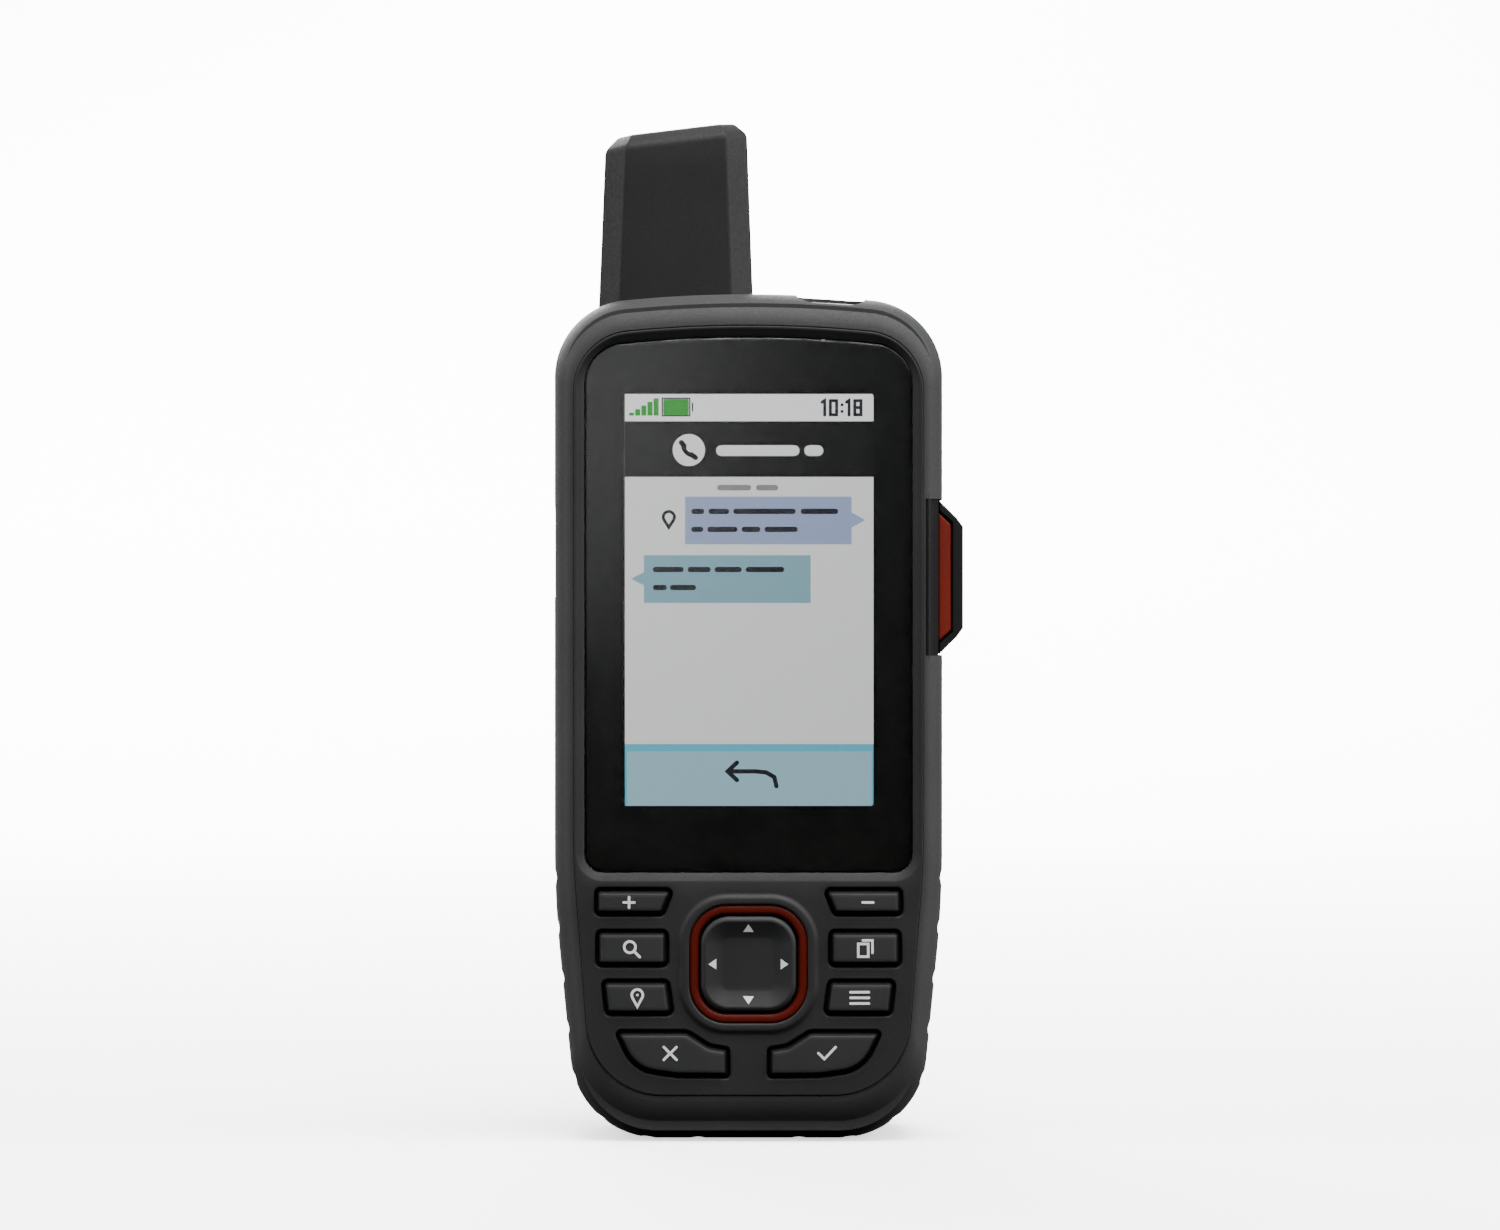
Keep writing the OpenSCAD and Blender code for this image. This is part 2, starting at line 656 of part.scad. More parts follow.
module main_board() {
    color([0.08, 0.3, 0.18]) difference() {
        slab(outline(case_corners, inner_inset + 0.6), board_front, board_back);
        block(-half, half, board_front - 1, board_back + 1, antenna_foot_z - seat_t - 1, case_height);
        for (p = screw_points)
            rod_y(p.x, p.y, boss_r + 0.3, board_front - 1, board_back + 1);
    }
}
module board_chips() {
    color([0.12, 0.12, 0.13]) {
        for (i = [0:4])
            block(-16 + i * 7, -12.5 + i * 7, board_back + fit_gap, board_back + 1.2, 13, 16.5);
        for (i = [0:2])
            block(8, 11, board_back + fit_gap, board_back + 1.4, 103 + i * 5, 106 + i * 5);
        block(-7, 7, board_front - 1.25, board_front - fit_gap, picture_z - 43, picture_z - 39.6);
    }
}
module shield_cans() {
    color([0.75, 0.75, 0.76]) {
        block(-22, -2, board_back + fit_gap, board_back + 2.2, 44, 62);
        block(2, 20, board_back + fit_gap, board_back + 2.4, 44, 60);
        block(-14, 14, board_back + fit_gap, board_back + 2, 20, 37);
    }
}
module satellite_modem() {
    color([0.7, 0.68, 0.5]) {
        block(-14, 14, board_back + fit_gap, board_back + 1, 64, 86);
        block(-13, 13, board_back + 1, board_back + 2.9, 65, 85);
    }
}
module snap_domes() {
    color([0.78, 0.78, 0.8]) {
        for (side = [-1, 1])
            for (c = key_centres)
                rod_y(side * c.x, c.y, 1.9, board_front - dome_h, board_front - fit_gap, 24);
        for (a = [0:90:270])
            rod_y(arrow_reach * cos(a), rocker_z + arrow_reach * sin(a), 1.9, board_front - dome_h,
                board_front - fit_gap, 24);
    }
}
module keypad_membrane() {
    color([0.16, 0.16, 0.17]) difference() {
        slab(outline([
            [22.4, 12.8, 1, 3], [key_out + 0.5, 22.6, 6, 3], [key_out + 0.7, 41.8, 1, 3],
            [-key_out - 0.7, 41.8, 1, 3], [-key_out - 0.5, 22.6, 6, 3], [-22.4, 12.8, 1, 3]
        ]), flange_y, membrane_back_y);
        for (side = [-1, 1])
            for (k = key_outlines)
                mirror_if(side < 0) slab(outline(k, -flange_out - 0.1), flange_y - 1, membrane_back_y + 1);
        slab(outline(shifted(box_corners(rocker_half, -rocker_half, rocker_half, rocker_r), 0, rocker_z), 0.1),
            flange_y - 1, membrane_back_y + 1);
    }
}
module rocker_trim_ring() {
    color([0.5, 0.1, 0.05]) slab_ring(
        shifted(box_corners(rocker_half, -rocker_half, rocker_half, rocker_r), 0, rocker_z),
        panel_y - 0.1, plate_back, fit_gap, trim_width
    );
}
module rocker_post() {
    color([0.7, 0.7, 0.7]) rod_y(0, rocker_z, 0.9, pivot_y + pivot_r + 0.02, board_front - fit_gap);
}
module power_switch() {
    color([0.7, 0.7, 0.72]) {
        block(power_x - 2.6, power_x + 2.6, board_back + fit_gap, board_back + 3.4, power_floor_z - 12,
            power_floor_z - 8);
        rod_z(power_x, power_stem_y, 1, power_floor_z - 8 - eps, power_floor_z - 5.7 - power_travel);
    }
}
module power_seal() {
    color([0.1, 0.1, 0.1]) difference() {
        rod_z(power_x, power_stem_y, 2.4, power_floor_z - 0.95, power_floor_z - 0.1);
        rod_z(power_x, power_stem_y, 1.55, power_floor_z - 2, power_floor_z + 1);
    }
}
module beeper() {
    color([0.1, 0.1, 0.1]) difference() {
        rod_y(-9, 109, 6, board_back + fit_gap, board_back + 4);
        rod_y(-9, 109, 1, board_back + 3, board_back + 5);
    }
}

// ---- antenna ----

// ring of the cover at height z on its low side, moved inwards by d
function antenna_ring(d, z, slant) =
    let (
        lean = antenna_draft * (z - antenna_foot_z) / (antenna_top - antenna_foot_z),
        w = antenna_width / 2 - lean,
        h = antenna_depth / 2 - lean,
        b = antenna_bevel,
        points = outline([
            [w - b, h, 1.5, 2], [-(w - b), h, 1.5, 2], [-w, h - b, 1.5, 2], [-w, b - h, 1.5, 2],
            [b - w, -h, 1.5, 2], [w - b, -h, 1.5, 2], [w, b - h, 1.5, 2], [w, h - b, 1.5, 2]
        ], d)
    ) [for (p = points) [antenna_x + p.x, p.y, z + slant * (p.x + w) / (2 * w)]];
module antenna_cover() {
    low = antenna_top - antenna_slant;
    color([0.17, 0.17, 0.17]) difference() {
        loft([
            antenna_ring(3, low, antenna_slant), antenna_ring(1.2, low - 0.8, antenna_slant),
            antenna_ring(0.35, low - 2, antenna_slant), antenna_ring(0, low - 3.2, antenna_slant),
            antenna_ring(0, antenna_foot_z, 0)
        ]);
        loft([
            antenna_ring(3.2, low - 1.8, antenna_slant), antenna_ring(antenna_wall, low - 4.2, antenna_slant),
            antenna_ring(antenna_wall, antenna_foot_z + 1.8, 0)
        ]);
        antenna_holes(0.02);
    }
}
module antenna_gasket() {
    color([0.08, 0.08, 0.08]) difference() {
        block(
            antenna_x - antenna_width / 2 + 1.5, antenna_x + antenna_width / 2 - 1.5,
            1.5 - antenna_depth / 2, antenna_depth / 2 - 1.5, antenna_foot_z - 0.38, antenna_foot_z - 0.02
        );
        antenna_holes(0.5);
    }
}
module antenna_former() {
    color([0.85, 0.85, 0.8]) difference() {
        rod_z(antenna_x, 0, former_r, former_z[0], former_z[1]);
        rod_z(antenna_x, 0, former_r - 1.2, former_z[0] + 1.2, former_z[1] + 1);
        rod_z(antenna_x, lead_y, lead_r + 0.8, former_z[0] - 1, former_z[0] + 2);
    }
}
// one copper strip wound half a turn round the former
function strip_rings(start) =
    [
        for (k = [0:14])
            let (
                a = start + 180 * k / 14,
                z = former_z[0] + 2 + (former_z[1] - former_z[0] - 4) * k / 14,
                r0 = former_r + fit_gap,
                r1 = former_r + 0.25
            ) [
                [antenna_x + r1 * cos(a), r1 * sin(a), z], [antenna_x + r1 * cos(a), r1 * sin(a), z + 1.8],
                [antenna_x + r0 * cos(a), r0 * sin(a), z + 1.8], [antenna_x + r0 * cos(a), r0 * sin(a), z]
            ]
    ];
module antenna_helix() {
    color([0.8, 0.45, 0.25]) for (a = [0:90:270]) loft(strip_rings(a));
}
lead_points = [
    for (p = [
        [0, lead_y, 7.6], [0, lead_y, 3.6], [0, lead_y, -0.4], [0, lead_y, -3.9], [-1, lead_y - 0.4, -6.7],
        [-3, 1.2, -8.9], [-5, -2, -10.2], [-6, -4.8, -10.6], [-6, lead_end_y, -10.6]
    ]) [antenna_x, 0, antenna_foot_z] + p
];
function lead_ring(i) =
    let (
        n = len(lead_points),
        t = unit(lead_points[min(i + 1, n - 1)] - lead_points[max(i - 1, 0)]),
        u = unit(cross(t, abs(t.x) > 0.9 ? [0, 1, 0] : [1, 0, 0])),
        v = cross(t, u)
    ) [for (a = [0:45:315]) lead_points[i] + lead_r * (u * cos(a) + v * sin(a))];
module antenna_lead() {
    n = len(lead_points);
    color([0.12, 0.12, 0.12]) {
        loft([for (i = [n - 1:-1:0]) lead_ring(i)]);
        rod_y(antenna_x - 6, antenna_foot_z - 10.6, 1.6, board_back + fit_gap, lead_end_y);
    }
}
module antenna_screws() {
    color([0.6, 0.6, 0.62]) for (s = [-1, 1]) {
        x = antenna_x + s * antenna_screw_x;
        under = antenna_foot_z - 0.4 - seat_t - fit_gap;
        rod_z(x, lead_y, screw_r, under - eps, antenna_foot_z + 2.8);
        rod_z(x, lead_y, 1.9, under - 1.2, under);
    }
}

// ---- emergency switch on the right flank ----

module sos_frame() {
    color([0.07, 0.07, 0.07]) {
        difference() {
            union() {
                translate([0, 0, sos_z - sos_frame_half]) linear_extrude(2 * sos_frame_half) polygon([
                    [sos_frame_x, panel_y + 0.7], [sos_frame_x + 0.7, panel_y + 0.55],
                    [sos_deck_x, panel_y + 2.9], [sos_deck_x, sos_frame_back_y], [sos_frame_x, sos_frame_back_y]
                ]);
                for (s = [-1, 1]) {
                    z0 = sos_z + s * (sos_ear_z[0] + sos_ear_z[1]) / 2 - (sos_ear_z[1] - sos_ear_z[0]) / 2;
                    rod_z(sos_pin.x, sos_pin.y, sos_barrel_r, z0, z0 + sos_ear_z[1] - sos_ear_z[0]);
                    block(sos_deck_x - 1, sos_pin.x, 3.05, 5.55, z0, z0 + sos_ear_z[1] - sos_ear_z[0]);
                }
            }
            rod_z(sos_pin.x, sos_pin.y, sos_pin_r + 0.01, sos_z - sos_half, sos_z + sos_half);
            block(sos_frame_x - 1, sos_deck_x + 1, -11.05, 0.05, sos_z - sos_window_half - fit_gap,
                sos_z + sos_window_half + fit_gap);
        }
    }
}
module sos_guard() {
    color([0.7, 0.14, 0.08]) difference() {
        union() {
            translate([0, sos_back_y, 0]) rotate([90, 0, 0]) linear_extrude(sos_back_y - sos_front_y) polygon([
                [sos_deck_x + fit_gap, sos_z - sos_half + 0.4], [sos_top_x, sos_z - sos_half + 2.3],
                [sos_top_x, sos_z + sos_half - 2.3], [sos_deck_x + fit_gap, sos_z + sos_half - 0.4]
            ]);
            block(sos_frame_x + fit_gap, sos_deck_x + 1, -11, 0, sos_z - sos_window_half, sos_z + sos_window_half);
        }
        flank_plate([sos_button_y, sos_z], sos_button_half, 3, 3, sos_frame_x - 1, sos_cap_x);
    }
}
module sos_button() {
    color([0.75, 0.2, 0.1]) {
        flank_plate([sos_button_y, sos_z], sos_button_half - [0.2, 0.2], 2.8, 2.8, sos_frame_x + 1.2,
            sos_top_x - 0.6);
        rod_x(sos_button_y, sos_z, 1.2, sos_switch_x + 0.4 + sos_travel, sos_frame_x + 1.2 + eps);
    }
}
module sos_switch() {
    color([0.7, 0.7, 0.72]) {
        block(sos_switch_x - 2.4, sos_switch_x, board_back + fit_gap, sos_button_y + 2, sos_z - 3, sos_z + 3);
        rod_x(sos_button_y, sos_z, 1, sos_switch_x - eps, sos_switch_x + 0.3);
    }
}
module sos_hinge_pin() {
    color([0.75, 0.75, 0.77]) rod_z(sos_pin.x, sos_pin.y, sos_pin_r, sos_z - sos_ear_z[1], sos_z + sos_ear_z[1]);
}
module sos_cap() {
    lid_back = 2.6;
    foot_x = sos_deck_x + 0.15;
    under_x = sos_top_x + 0.15;
    barrel_z = sos_ear_z[0] - 0.25;
    h = sos_half;
    color([0.08, 0.08, 0.08]) difference() {
        union() {
            translate([0, lid_back, 0]) rotate([90, 0, 0]) linear_extrude(lid_back - sos_front_y + 0.1) polygon([
                [foot_x, sos_z - h - 1.6], [sos_cap_x - 1, sos_z - h + 1.25], [sos_cap_x, sos_z - h + 2.6],
                [sos_cap_x, sos_z + h - 2.6], [sos_cap_x - 1, sos_z + h - 1.25], [foot_x, sos_z + h + 1.6],
                [foot_x, sos_z + h - 0.1], [under_x, sos_z + h - 1.95], [under_x, sos_z - h + 1.95],
                [foot_x, sos_z - h + 0.1]
            ]);
            rod_z(sos_pin.x, sos_pin.y, sos_barrel_r, sos_z - barrel_z, sos_z + barrel_z);
            translate([0, 0, sos_z - barrel_z]) linear_extrude(2 * barrel_z) polygon([
                [under_x, 1.6], [sos_cap_x, 1.6], [sos_pin.x + 1, sos_pin.y + 0.75],
                [sos_pin.x - 0.4, sos_pin.y], [sos_pin.x - 0.4, 3.2]
            ]);
        }
        rod_z(sos_pin.x, sos_pin.y, sos_pin_r + 0.05, sos_z - h, sos_z + h);
    }
}

// ---- connector ----

module usb_port() {
    color([0.72, 0.72, 0.74]) difference() {
        block(usb_port_x, usb_port_x + 6.4, board_back + fit_gap, usb_y + 1.5, usb_z - 4, usb_z + 4);
        block(usb_port_x - 1, usb_port_x + 5.4, usb_y - 1.1, usb_y + 1.1, usb_z - 3.6, usb_z + 3.6);
    }
}
module usb_cap() {
    inner_x = usb_axis.x + usb_bead_r - 0.2;
    color([0.1, 0.1, 0.1]) {
        difference() {
            flank_plate([usb_y, usb_z], usb_cap_half, 2.4, 0.3, -half + 0.15, inner_x);
            block(-half - 1, inner_x + 1, usb_y - 6, usb_y + 6, usb_z - 10, usb_axis.y);
        }
        translate([usb_axis.x, usb_y + usb_cap_half.x - 0.6, usb_axis.y]) rotate([90, 0, 0])
            cylinder(r = usb_bead_r, h = 2 * usb_cap_half.x - 1.2);
        flank_plate([usb_y, usb_z + 0.2], usb_plug_half, 0.7, 0.7, inner_x - eps, -half + 4);
    }
}

// ---- battery ----

pack_half = bay_half - 0.4;
pack_z = [bay_z[0] + 0.6, bay_z[1] - 0.5];
pack_y = [bay_inside_y + 2, door_front_y - 0.9];
module battery_case() {
    color([0.16, 0.17, 0.19]) difference() {
        slab(outline(box_corners(pack_half, pack_z[0], pack_z[1], 3)), pack_y[0], pack_y[1]);
        slab(outline(box_corners(pack_half - 1, pack_z[0] + 1, pack_z[1] - 1, 0.8)), pack_y[0] - 1, pack_y[1] - 1);
    }
}
module battery_cells() {
    color([0.5, 0.52, 0.55]) for (s = [-1, 1])
        block(min(s * 0.1, s * (pack_half - 1.1)), max(s * 0.1, s * (pack_half - 1.1)), pack_y[0] + 0.3,
            pack_y[1] - 1.05, pack_z[0] + 1.8, pack_z[1] - 3);
}
module battery_contacts() {
    color([0.85, 0.7, 0.35]) for (x = [-4, 0, 4]) {
        rod_z(x, 4, 0.8, bay_z[0] - bay_wall - 0.6, pack_z[0] - 0.05);
        rod_z(x, 4, 1.3, bay_z[0] - bay_wall - 1.4, bay_z[0] - bay_wall - 0.1);
    }
}
module card_holder() {
    color([0.74, 0.74, 0.76]) difference() {
        block(-7.4, 7.4, bay_inside_y + fit_gap, bay_inside_y + 1.7, 68, 83);
        block(-5.6, 5.6, bay_inside_y + 0.45, bay_inside_y + 1.35, 67, 82);
    }
}
module memory_card() {
    color([0.07, 0.07, 0.08])
        block(-5.5, 5.5, bay_inside_y + 0.5, bay_inside_y + 1.3, 66.6, 81.6);
}

// ---- battery door and lock ----

module battery_door() {
    color([0.14, 0.14, 0.15]) difference() {
        slab(outline(door_corners()), door_front_y, door_back_y);
        rod_y(0, lock_z, lock_r + 0.2, lock_flange_y[0] - 0.05, door_back_y + 1);
        rod_y(0, lock_z, shaft_r + 0.05, door_front_y - 1, door_back_y);
        for (s = [-1, 1])
            for (i = [0:4])
                block(s * (door_half - 4) - 1, s * (door_half - 4) + 1, door_back_y - 0.35, door_back_y + 1,
                    40 + i * 10, 46 + i * 10);
    }
}
module door_gasket() {
    color([0.3, 0.3, 0.32]) slab_ring(
        box_corners(bay_half + 1.35, bay_z[0] - 1.35, bay_z[1] + 1.35, 2.5), door_seat_y - 0.45,
        door_front_y - 0.01, 0, 0.8
    );
}
module door_lock() {
    color([0.12, 0.12, 0.13]) difference() {
        union() {
            rod_y(0, lock_z, lock_r, lock_flange_y[0], lock_flange_y[1]);
            rod_y(0, lock_z, shaft_r, cam_y[0], lock_flange_y[0] + eps);
            block(-cam_half.x, cam_half.x, cam_y[0], cam_y[1], lock_z - cam_half.y, lock_z + cam_half.y);
        }
        difference() {
            rod_y(0, lock_z, lock_r - 1, lock_flange_y[0] + 0.5, lock_flange_y[1] + 1);
            rod_y(0, lock_z, island_r, lock_flange_y[0], lock_flange_y[1] + 2);
        }
        rod_x(ring_y, lock_z, ring_t / 2 + 0.05, -island_r - 1, island_r + 1);
        difference() {
            rod_y(0, lock_z, shaft_r + 1, door_front_y - 0.6, door_front_y - 0.02);
            rod_y(0, lock_z, shaft_r - 0.5, door_front_y - 1, door_front_y + 1);
        }
    }
}
module d_ring() {
    color([0.6, 0.6, 0.62]) {
        intersection() {
            difference() {
                rod_y(0, lock_z, ring_r[1], ring_y - ring_t / 2, ring_y + ring_t / 2);
                rod_y(0, lock_z, ring_r[0], ring_y - 1, ring_y + 1);
            }
            block(-10, 10, ring_y - 2, ring_y + 2, lock_z - 10, lock_z);
        }
        rod_x(ring_y, lock_z, ring_t / 2, -ring_r[1] + 0.3, ring_r[1] - 0.3);
    }
}
module lock_clip() {
    color([0.7, 0.7, 0.72]) difference() {
        rod_y(0, lock_z, 5.2, door_front_y - 0.55, door_front_y - 0.05);
        rod_y(0, lock_z, shaft_r - 0.48, door_front_y - 1, door_front_y + 1);
        block(-1.6, 1.6, door_front_y - 1, door_front_y + 1, lock_z - 8, lock_z);
    }
}

// ---- mounting spine on the back ----

module mounting_spine() {
    top_y = rear_y + 2.5;
    color([0.1, 0.1, 0.11]) difference() {
        union() {
            block(-8, 8, rear_y - 1.35, rear_y + 0.2, spine_z[0] - 1, spine_z[1] + 1);
            block(-spine_neck, spine_neck, rear_y, top_y - spine_head.y + eps, spine_z[0], spine_z[1]);
            block(-spine_head.x, spine_head.x, top_y - spine_head.y, top_y, spine_z[0], spine_z[1]);
        }
        for (s = [-1, 1])
            rod_y(s * (spine_head.x + 0.8), (spine_z[0] + spine_z[1]) / 2, 1.9, rear_y + 0.25, top_y + 1);
        for (z = [spine_z[0] + 4, spine_z[1] - 4]) {
            rod_y(0, z, screw_r + 0.15, rear_y - 3, top_y + 1);
            rod_y(0, z, 1.95, top_y - 1.1, top_y + 1);
        }
    }
}
module spine_screws() {
    color([0.55, 0.55, 0.57]) for (z = [spine_z[0] + 4, spine_z[1] - 4])
        cap_screw(0, z, rear_y + 2.4, rear_y - 5, 1.8);
}

// ---- keys ----

module key(k) {
    c = key_outlines[k];
    loft([
        at_depth(outline(c, key_gap + key_bevel), key_top_y),
        at_depth(outline(c, key_gap + key_bevel - 0.25), key_top_y + 0.2),
        at_depth(outline(c, key_gap), panel_y + 0.9),
        at_depth(outline(c, key_gap), flange_y + eps)
    ]);
    slab(outline(c, -flange_out + 0.15), flange_y, flange_y + flange_t);
    rod_y(key_centres[k].x, key_centres[k].y, 1.2, flange_y + flange_t - eps, stem_tip_y, 24);
}
module left_key(k) {
    color([0.2, 0.2, 0.2]) mirror([1, 0, 0]) key(k);
}
module right_key(k) {
    color([0.2, 0.2, 0.2]) key(k);
}
module rocker_cap() {
    c = shifted(box_corners(cap_half, -cap_half, cap_half, rocker_r - trim_width), 0, rocker_z);
    color([0.19, 0.19, 0.19]) difference() {
        union() {
            loft([
                at_depth(outline(c, 0.5), key_top_y),
                at_depth(outline(c, 0), key_top_y + 0.5),
                at_depth(outline(c, 0), flange_y + 0.7)
            ]);
            slab(outline(c, -0.85), flange_y + 0.65, membrane_back_y + 0.4);
            rod_y(0, rocker_z, 2.4, membrane_back_y, pivot_y + 0.5);
            for (a = [0:90:270])
                rod_y(arrow_reach * cos(a), rocker_z + arrow_reach * sin(a), 1, membrane_back_y,
                    rocker_stem_y, 24);
        }
        loft([
            at_depth(outline(c, 0.9), key_top_y - 0.05),
            at_depth(outline(c, 3.3), key_top_y + 0.9)
        ]);
        translate([0, pivot_y, rocker_z]) sphere(r = pivot_r + fit_gap);
    }
}
module rocker_pivot() {
    color([0.6, 0.6, 0.62]) translate([0, pivot_y, rocker_z]) sphere(r = pivot_r);
}
module power_button() {
    color([0.07, 0.07, 0.07]) {
        intersection() {
            translate([power_x, power_y, power_floor_z + power_travel + 0.1]) linear_extrude(6)
                polygon(outline(box_corners(power_half.x, -power_half.y, power_half.y, 3)));
            loft(skin_rings(0.3));
        }
        rod_z(power_x, power_stem_y, 1.5, power_floor_z - 5.6, power_floor_z + power_travel + 0.1 + eps);
    }
}

front_housing();
rear_housing();
grip_bumper();
case_gasket();
case_screws();
window_glass();
window_mask();
window_adhesive();
display_panel();
display_backlight();
display_chassis();
display_flex();
main_board();
board_chips();
shield_cans();
satellite_modem();
snap_domes();
keypad_membrane();
rocker_trim_ring();
rocker_post();
power_switch();
power_seal();
antenna_cover();
antenna_gasket();
antenna_former();
antenna_helix();
antenna_lead();
antenna_screws();
sos_frame();
sos_guard();
sos_hinge_pin();
sos_switch();
usb_port();
battery_case();
battery_cells();
battery_contacts();
card_holder();
memory_card();
mounting_spine();
spine_screws();
beeper();
left_key(0);  // zoom_in_key
right_key(0);  // zoom_out_key
left_key(1);  // find_key
right_key(1);  // page_key
left_key(2);  // mark_key
right_key(2);  // menu_key
left_key(3);  // quit_key
right_key(3);  // enter_key
rocker_pivot();
rocker_cap();
power_button();
sos_cap();
sos_button();
usb_cap();
battery_door();
door_gasket();
door_lock();
d_ring();
lock_clip();
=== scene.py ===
# Handheld aviation navigator: smooth skins, the picture on its display and its finishes, over the frame.
# Lengths in the dictionaries are millimetres. X runs to the right, Y from the display to the back, Z up.
import json

import bmesh
import bpy
import numpy as np
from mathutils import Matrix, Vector
from mathutils.geometry import delaunay_2d_cdt


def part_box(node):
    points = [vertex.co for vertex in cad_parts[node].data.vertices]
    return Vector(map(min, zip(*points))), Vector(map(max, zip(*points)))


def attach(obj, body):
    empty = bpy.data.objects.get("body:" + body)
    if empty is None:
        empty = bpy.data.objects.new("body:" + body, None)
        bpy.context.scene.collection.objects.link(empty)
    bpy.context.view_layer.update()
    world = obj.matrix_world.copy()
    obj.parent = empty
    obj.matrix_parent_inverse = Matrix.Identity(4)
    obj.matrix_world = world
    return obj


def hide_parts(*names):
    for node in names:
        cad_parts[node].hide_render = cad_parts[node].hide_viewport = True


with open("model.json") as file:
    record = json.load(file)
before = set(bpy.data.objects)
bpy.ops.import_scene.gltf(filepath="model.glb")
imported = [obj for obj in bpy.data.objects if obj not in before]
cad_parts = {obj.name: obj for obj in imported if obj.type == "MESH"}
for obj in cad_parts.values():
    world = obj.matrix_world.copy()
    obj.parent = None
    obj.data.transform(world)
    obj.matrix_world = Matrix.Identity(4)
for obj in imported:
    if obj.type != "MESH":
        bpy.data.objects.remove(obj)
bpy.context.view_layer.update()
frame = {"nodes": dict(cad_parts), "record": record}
toMetres = 0.001
print("frame loaded:", len(frame["nodes"]), "nodes")

# the camera stands level with the middle of the window and looks straight at it
cameraValues = {"distance": 750.0, "side": 0.24, "height": 83.6, "lens": 111.06, "sensor": 36.0}


def addCamera(v):
    data = bpy.data.cameras.new("mainCamera")
    data.lens, data.sensor_width, data.sensor_fit = v["lens"], v["sensor"], "HORIZONTAL"
    data.clip_start, data.clip_end = 0.01, 20.0
    camera = bpy.data.objects.new("mainCamera", data)
    camera.location = (v["side"] * toMetres, -v["distance"] * toMetres, v["height"] * toMetres)
    camera.rotation_euler = (np.pi / 2, 0, 0)
    bpy.context.scene.collection.objects.link(camera)
    bpy.context.scene.camera = camera


addCamera(cameraValues)
print("camera placed")


# finishes
def newFinish(name):
    material = bpy.data.materials.new(name)
    material.use_nodes = True
    tree = material.node_tree
    shader = tree.nodes["Principled BSDF"]
    place = tree.nodes.new("ShaderNodeTexCoord").outputs["Object"]
    return material, tree, shader, place


def noiseAt(tree, place, size, detail=3.0, stretch=(1, 1, 1)):
    # noise with lumps of about this size in millimetres, drawn out along the axes by stretch
    mapping = tree.nodes.new("ShaderNodeMapping")
    mapping.inputs["Scale"].default_value = tuple(1 / (s * size * toMetres) for s in stretch)
    tree.links.new(place, mapping.inputs["Vector"])
    noise = tree.nodes.new("ShaderNodeTexNoise")
    noise.inputs["Scale"].default_value = 1.0
    noise.inputs["Detail"].default_value = detail
    tree.links.new(mapping.outputs["Vector"], noise.inputs["Vector"])
    return noise.outputs["Fac"]


def spread(tree, source, low, high, fromLow=0.3, fromHigh=0.7):
    node = tree.nodes.new("ShaderNodeMapRange")
    node.inputs["From Min"].default_value, node.inputs["From Max"].default_value = fromLow, fromHigh
    node.inputs["To Min"].default_value, node.inputs["To Max"].default_value = low, high
    tree.links.new(source, node.inputs["Value"])
    return node.outputs["Result"]


def blendColours(tree, source, first, second):
    node = tree.nodes.new("ShaderNodeMix")
    node.data_type = "RGBA"
    node.inputs[6].default_value, node.inputs[7].default_value = (*first, 1), (*second, 1)
    tree.links.new(source, node.inputs[0])
    return node.outputs[2]


def raiseGrain(tree, shader, sources, depths):
    # several heights stacked through bump nodes, each with its own depth in millimetres
    last = None
    for source, depth in zip(sources, depths):
        bump = tree.nodes.new("ShaderNodeBump")
        bump.inputs["Strength"].default_value = 1.0
        bump.inputs["Distance"].default_value = depth * toMetres
        tree.links.new(source, bump.inputs["Height"])
        if last:
            tree.links.new(last.outputs["Normal"], bump.inputs["Normal"])
        last = bump
    tree.links.new(last.outputs["Normal"], shader.inputs["Normal"])


def mouldedFinish(name, v):
    # moulded plastic or rubber: spark grain, slow colour drift, patchy sheen
    material, tree, shader, place = newFinish(name)
    grain = noiseAt(tree, place, v["grain"], 4.0)
    drift = noiseAt(tree, place, v.get("drift", 14.0), 2.0)
    colour = blendColours(tree, spread(tree, drift, 0, 1), v["colour"], v["shade"])
    tree.links.new(colour, shader.inputs["Base Color"])
    tree.links.new(spread(tree, grain, v["rough"][0], v["rough"][1]), shader.inputs["Roughness"])
    raiseGrain(tree, shader, [grain, drift], [v["depth"], v["depth"] * 1.5])
    shader.inputs["Specular IOR Level"].default_value = v.get("gloss", 0.5)
    shader.inputs["Coat Weight"].default_value = v.get("coat", 0.0)
    shader.inputs["Coat Roughness"].default_value = 0.3
    shader.inputs["Sheen Weight"].default_value = v.get("sheen", 0.0)
    shader.inputs["Sheen Roughness"].default_value = 0.4
    return material


def keyPaintedShadeFinish(name, v):
    # rubber whose face keeps the rubber's colour while its rounded edge and sides, from where they turn down,
    # get painted shade: a much darker colour
    material = mouldedFinish(name, v)
    tree = material.node_tree
    shader = tree.nodes["Principled BSDF"]
    face = shader.inputs["Base Color"].links[0].from_socket
    place = next(n for n in tree.nodes if n.type == "TEX_COORD").outputs["Object"]
    split = tree.nodes.new("ShaderNodeSeparateXYZ")
    tree.links.new(place, split.inputs[0])
    # painted shade: points behind the face's edge, towards the back, blend into the dark side colour
    side = spread(tree, split.outputs["Y"], 0, 1, v["paintedShadeFrom"] * toMetres, v["paintedShadeTo"] * toMetres)
    mix = tree.nodes.new("ShaderNodeMix")
    mix.data_type = "RGBA"
    tree.links.new(side, mix.inputs[0])
    tree.links.new(face, mix.inputs[6])
    # the side colour is painted shade for the rounded edge and sides
    mix.inputs[7].default_value = (*v["side"], 1)
    tree.links.new(mix.outputs[2], shader.inputs["Base Color"])
    return material


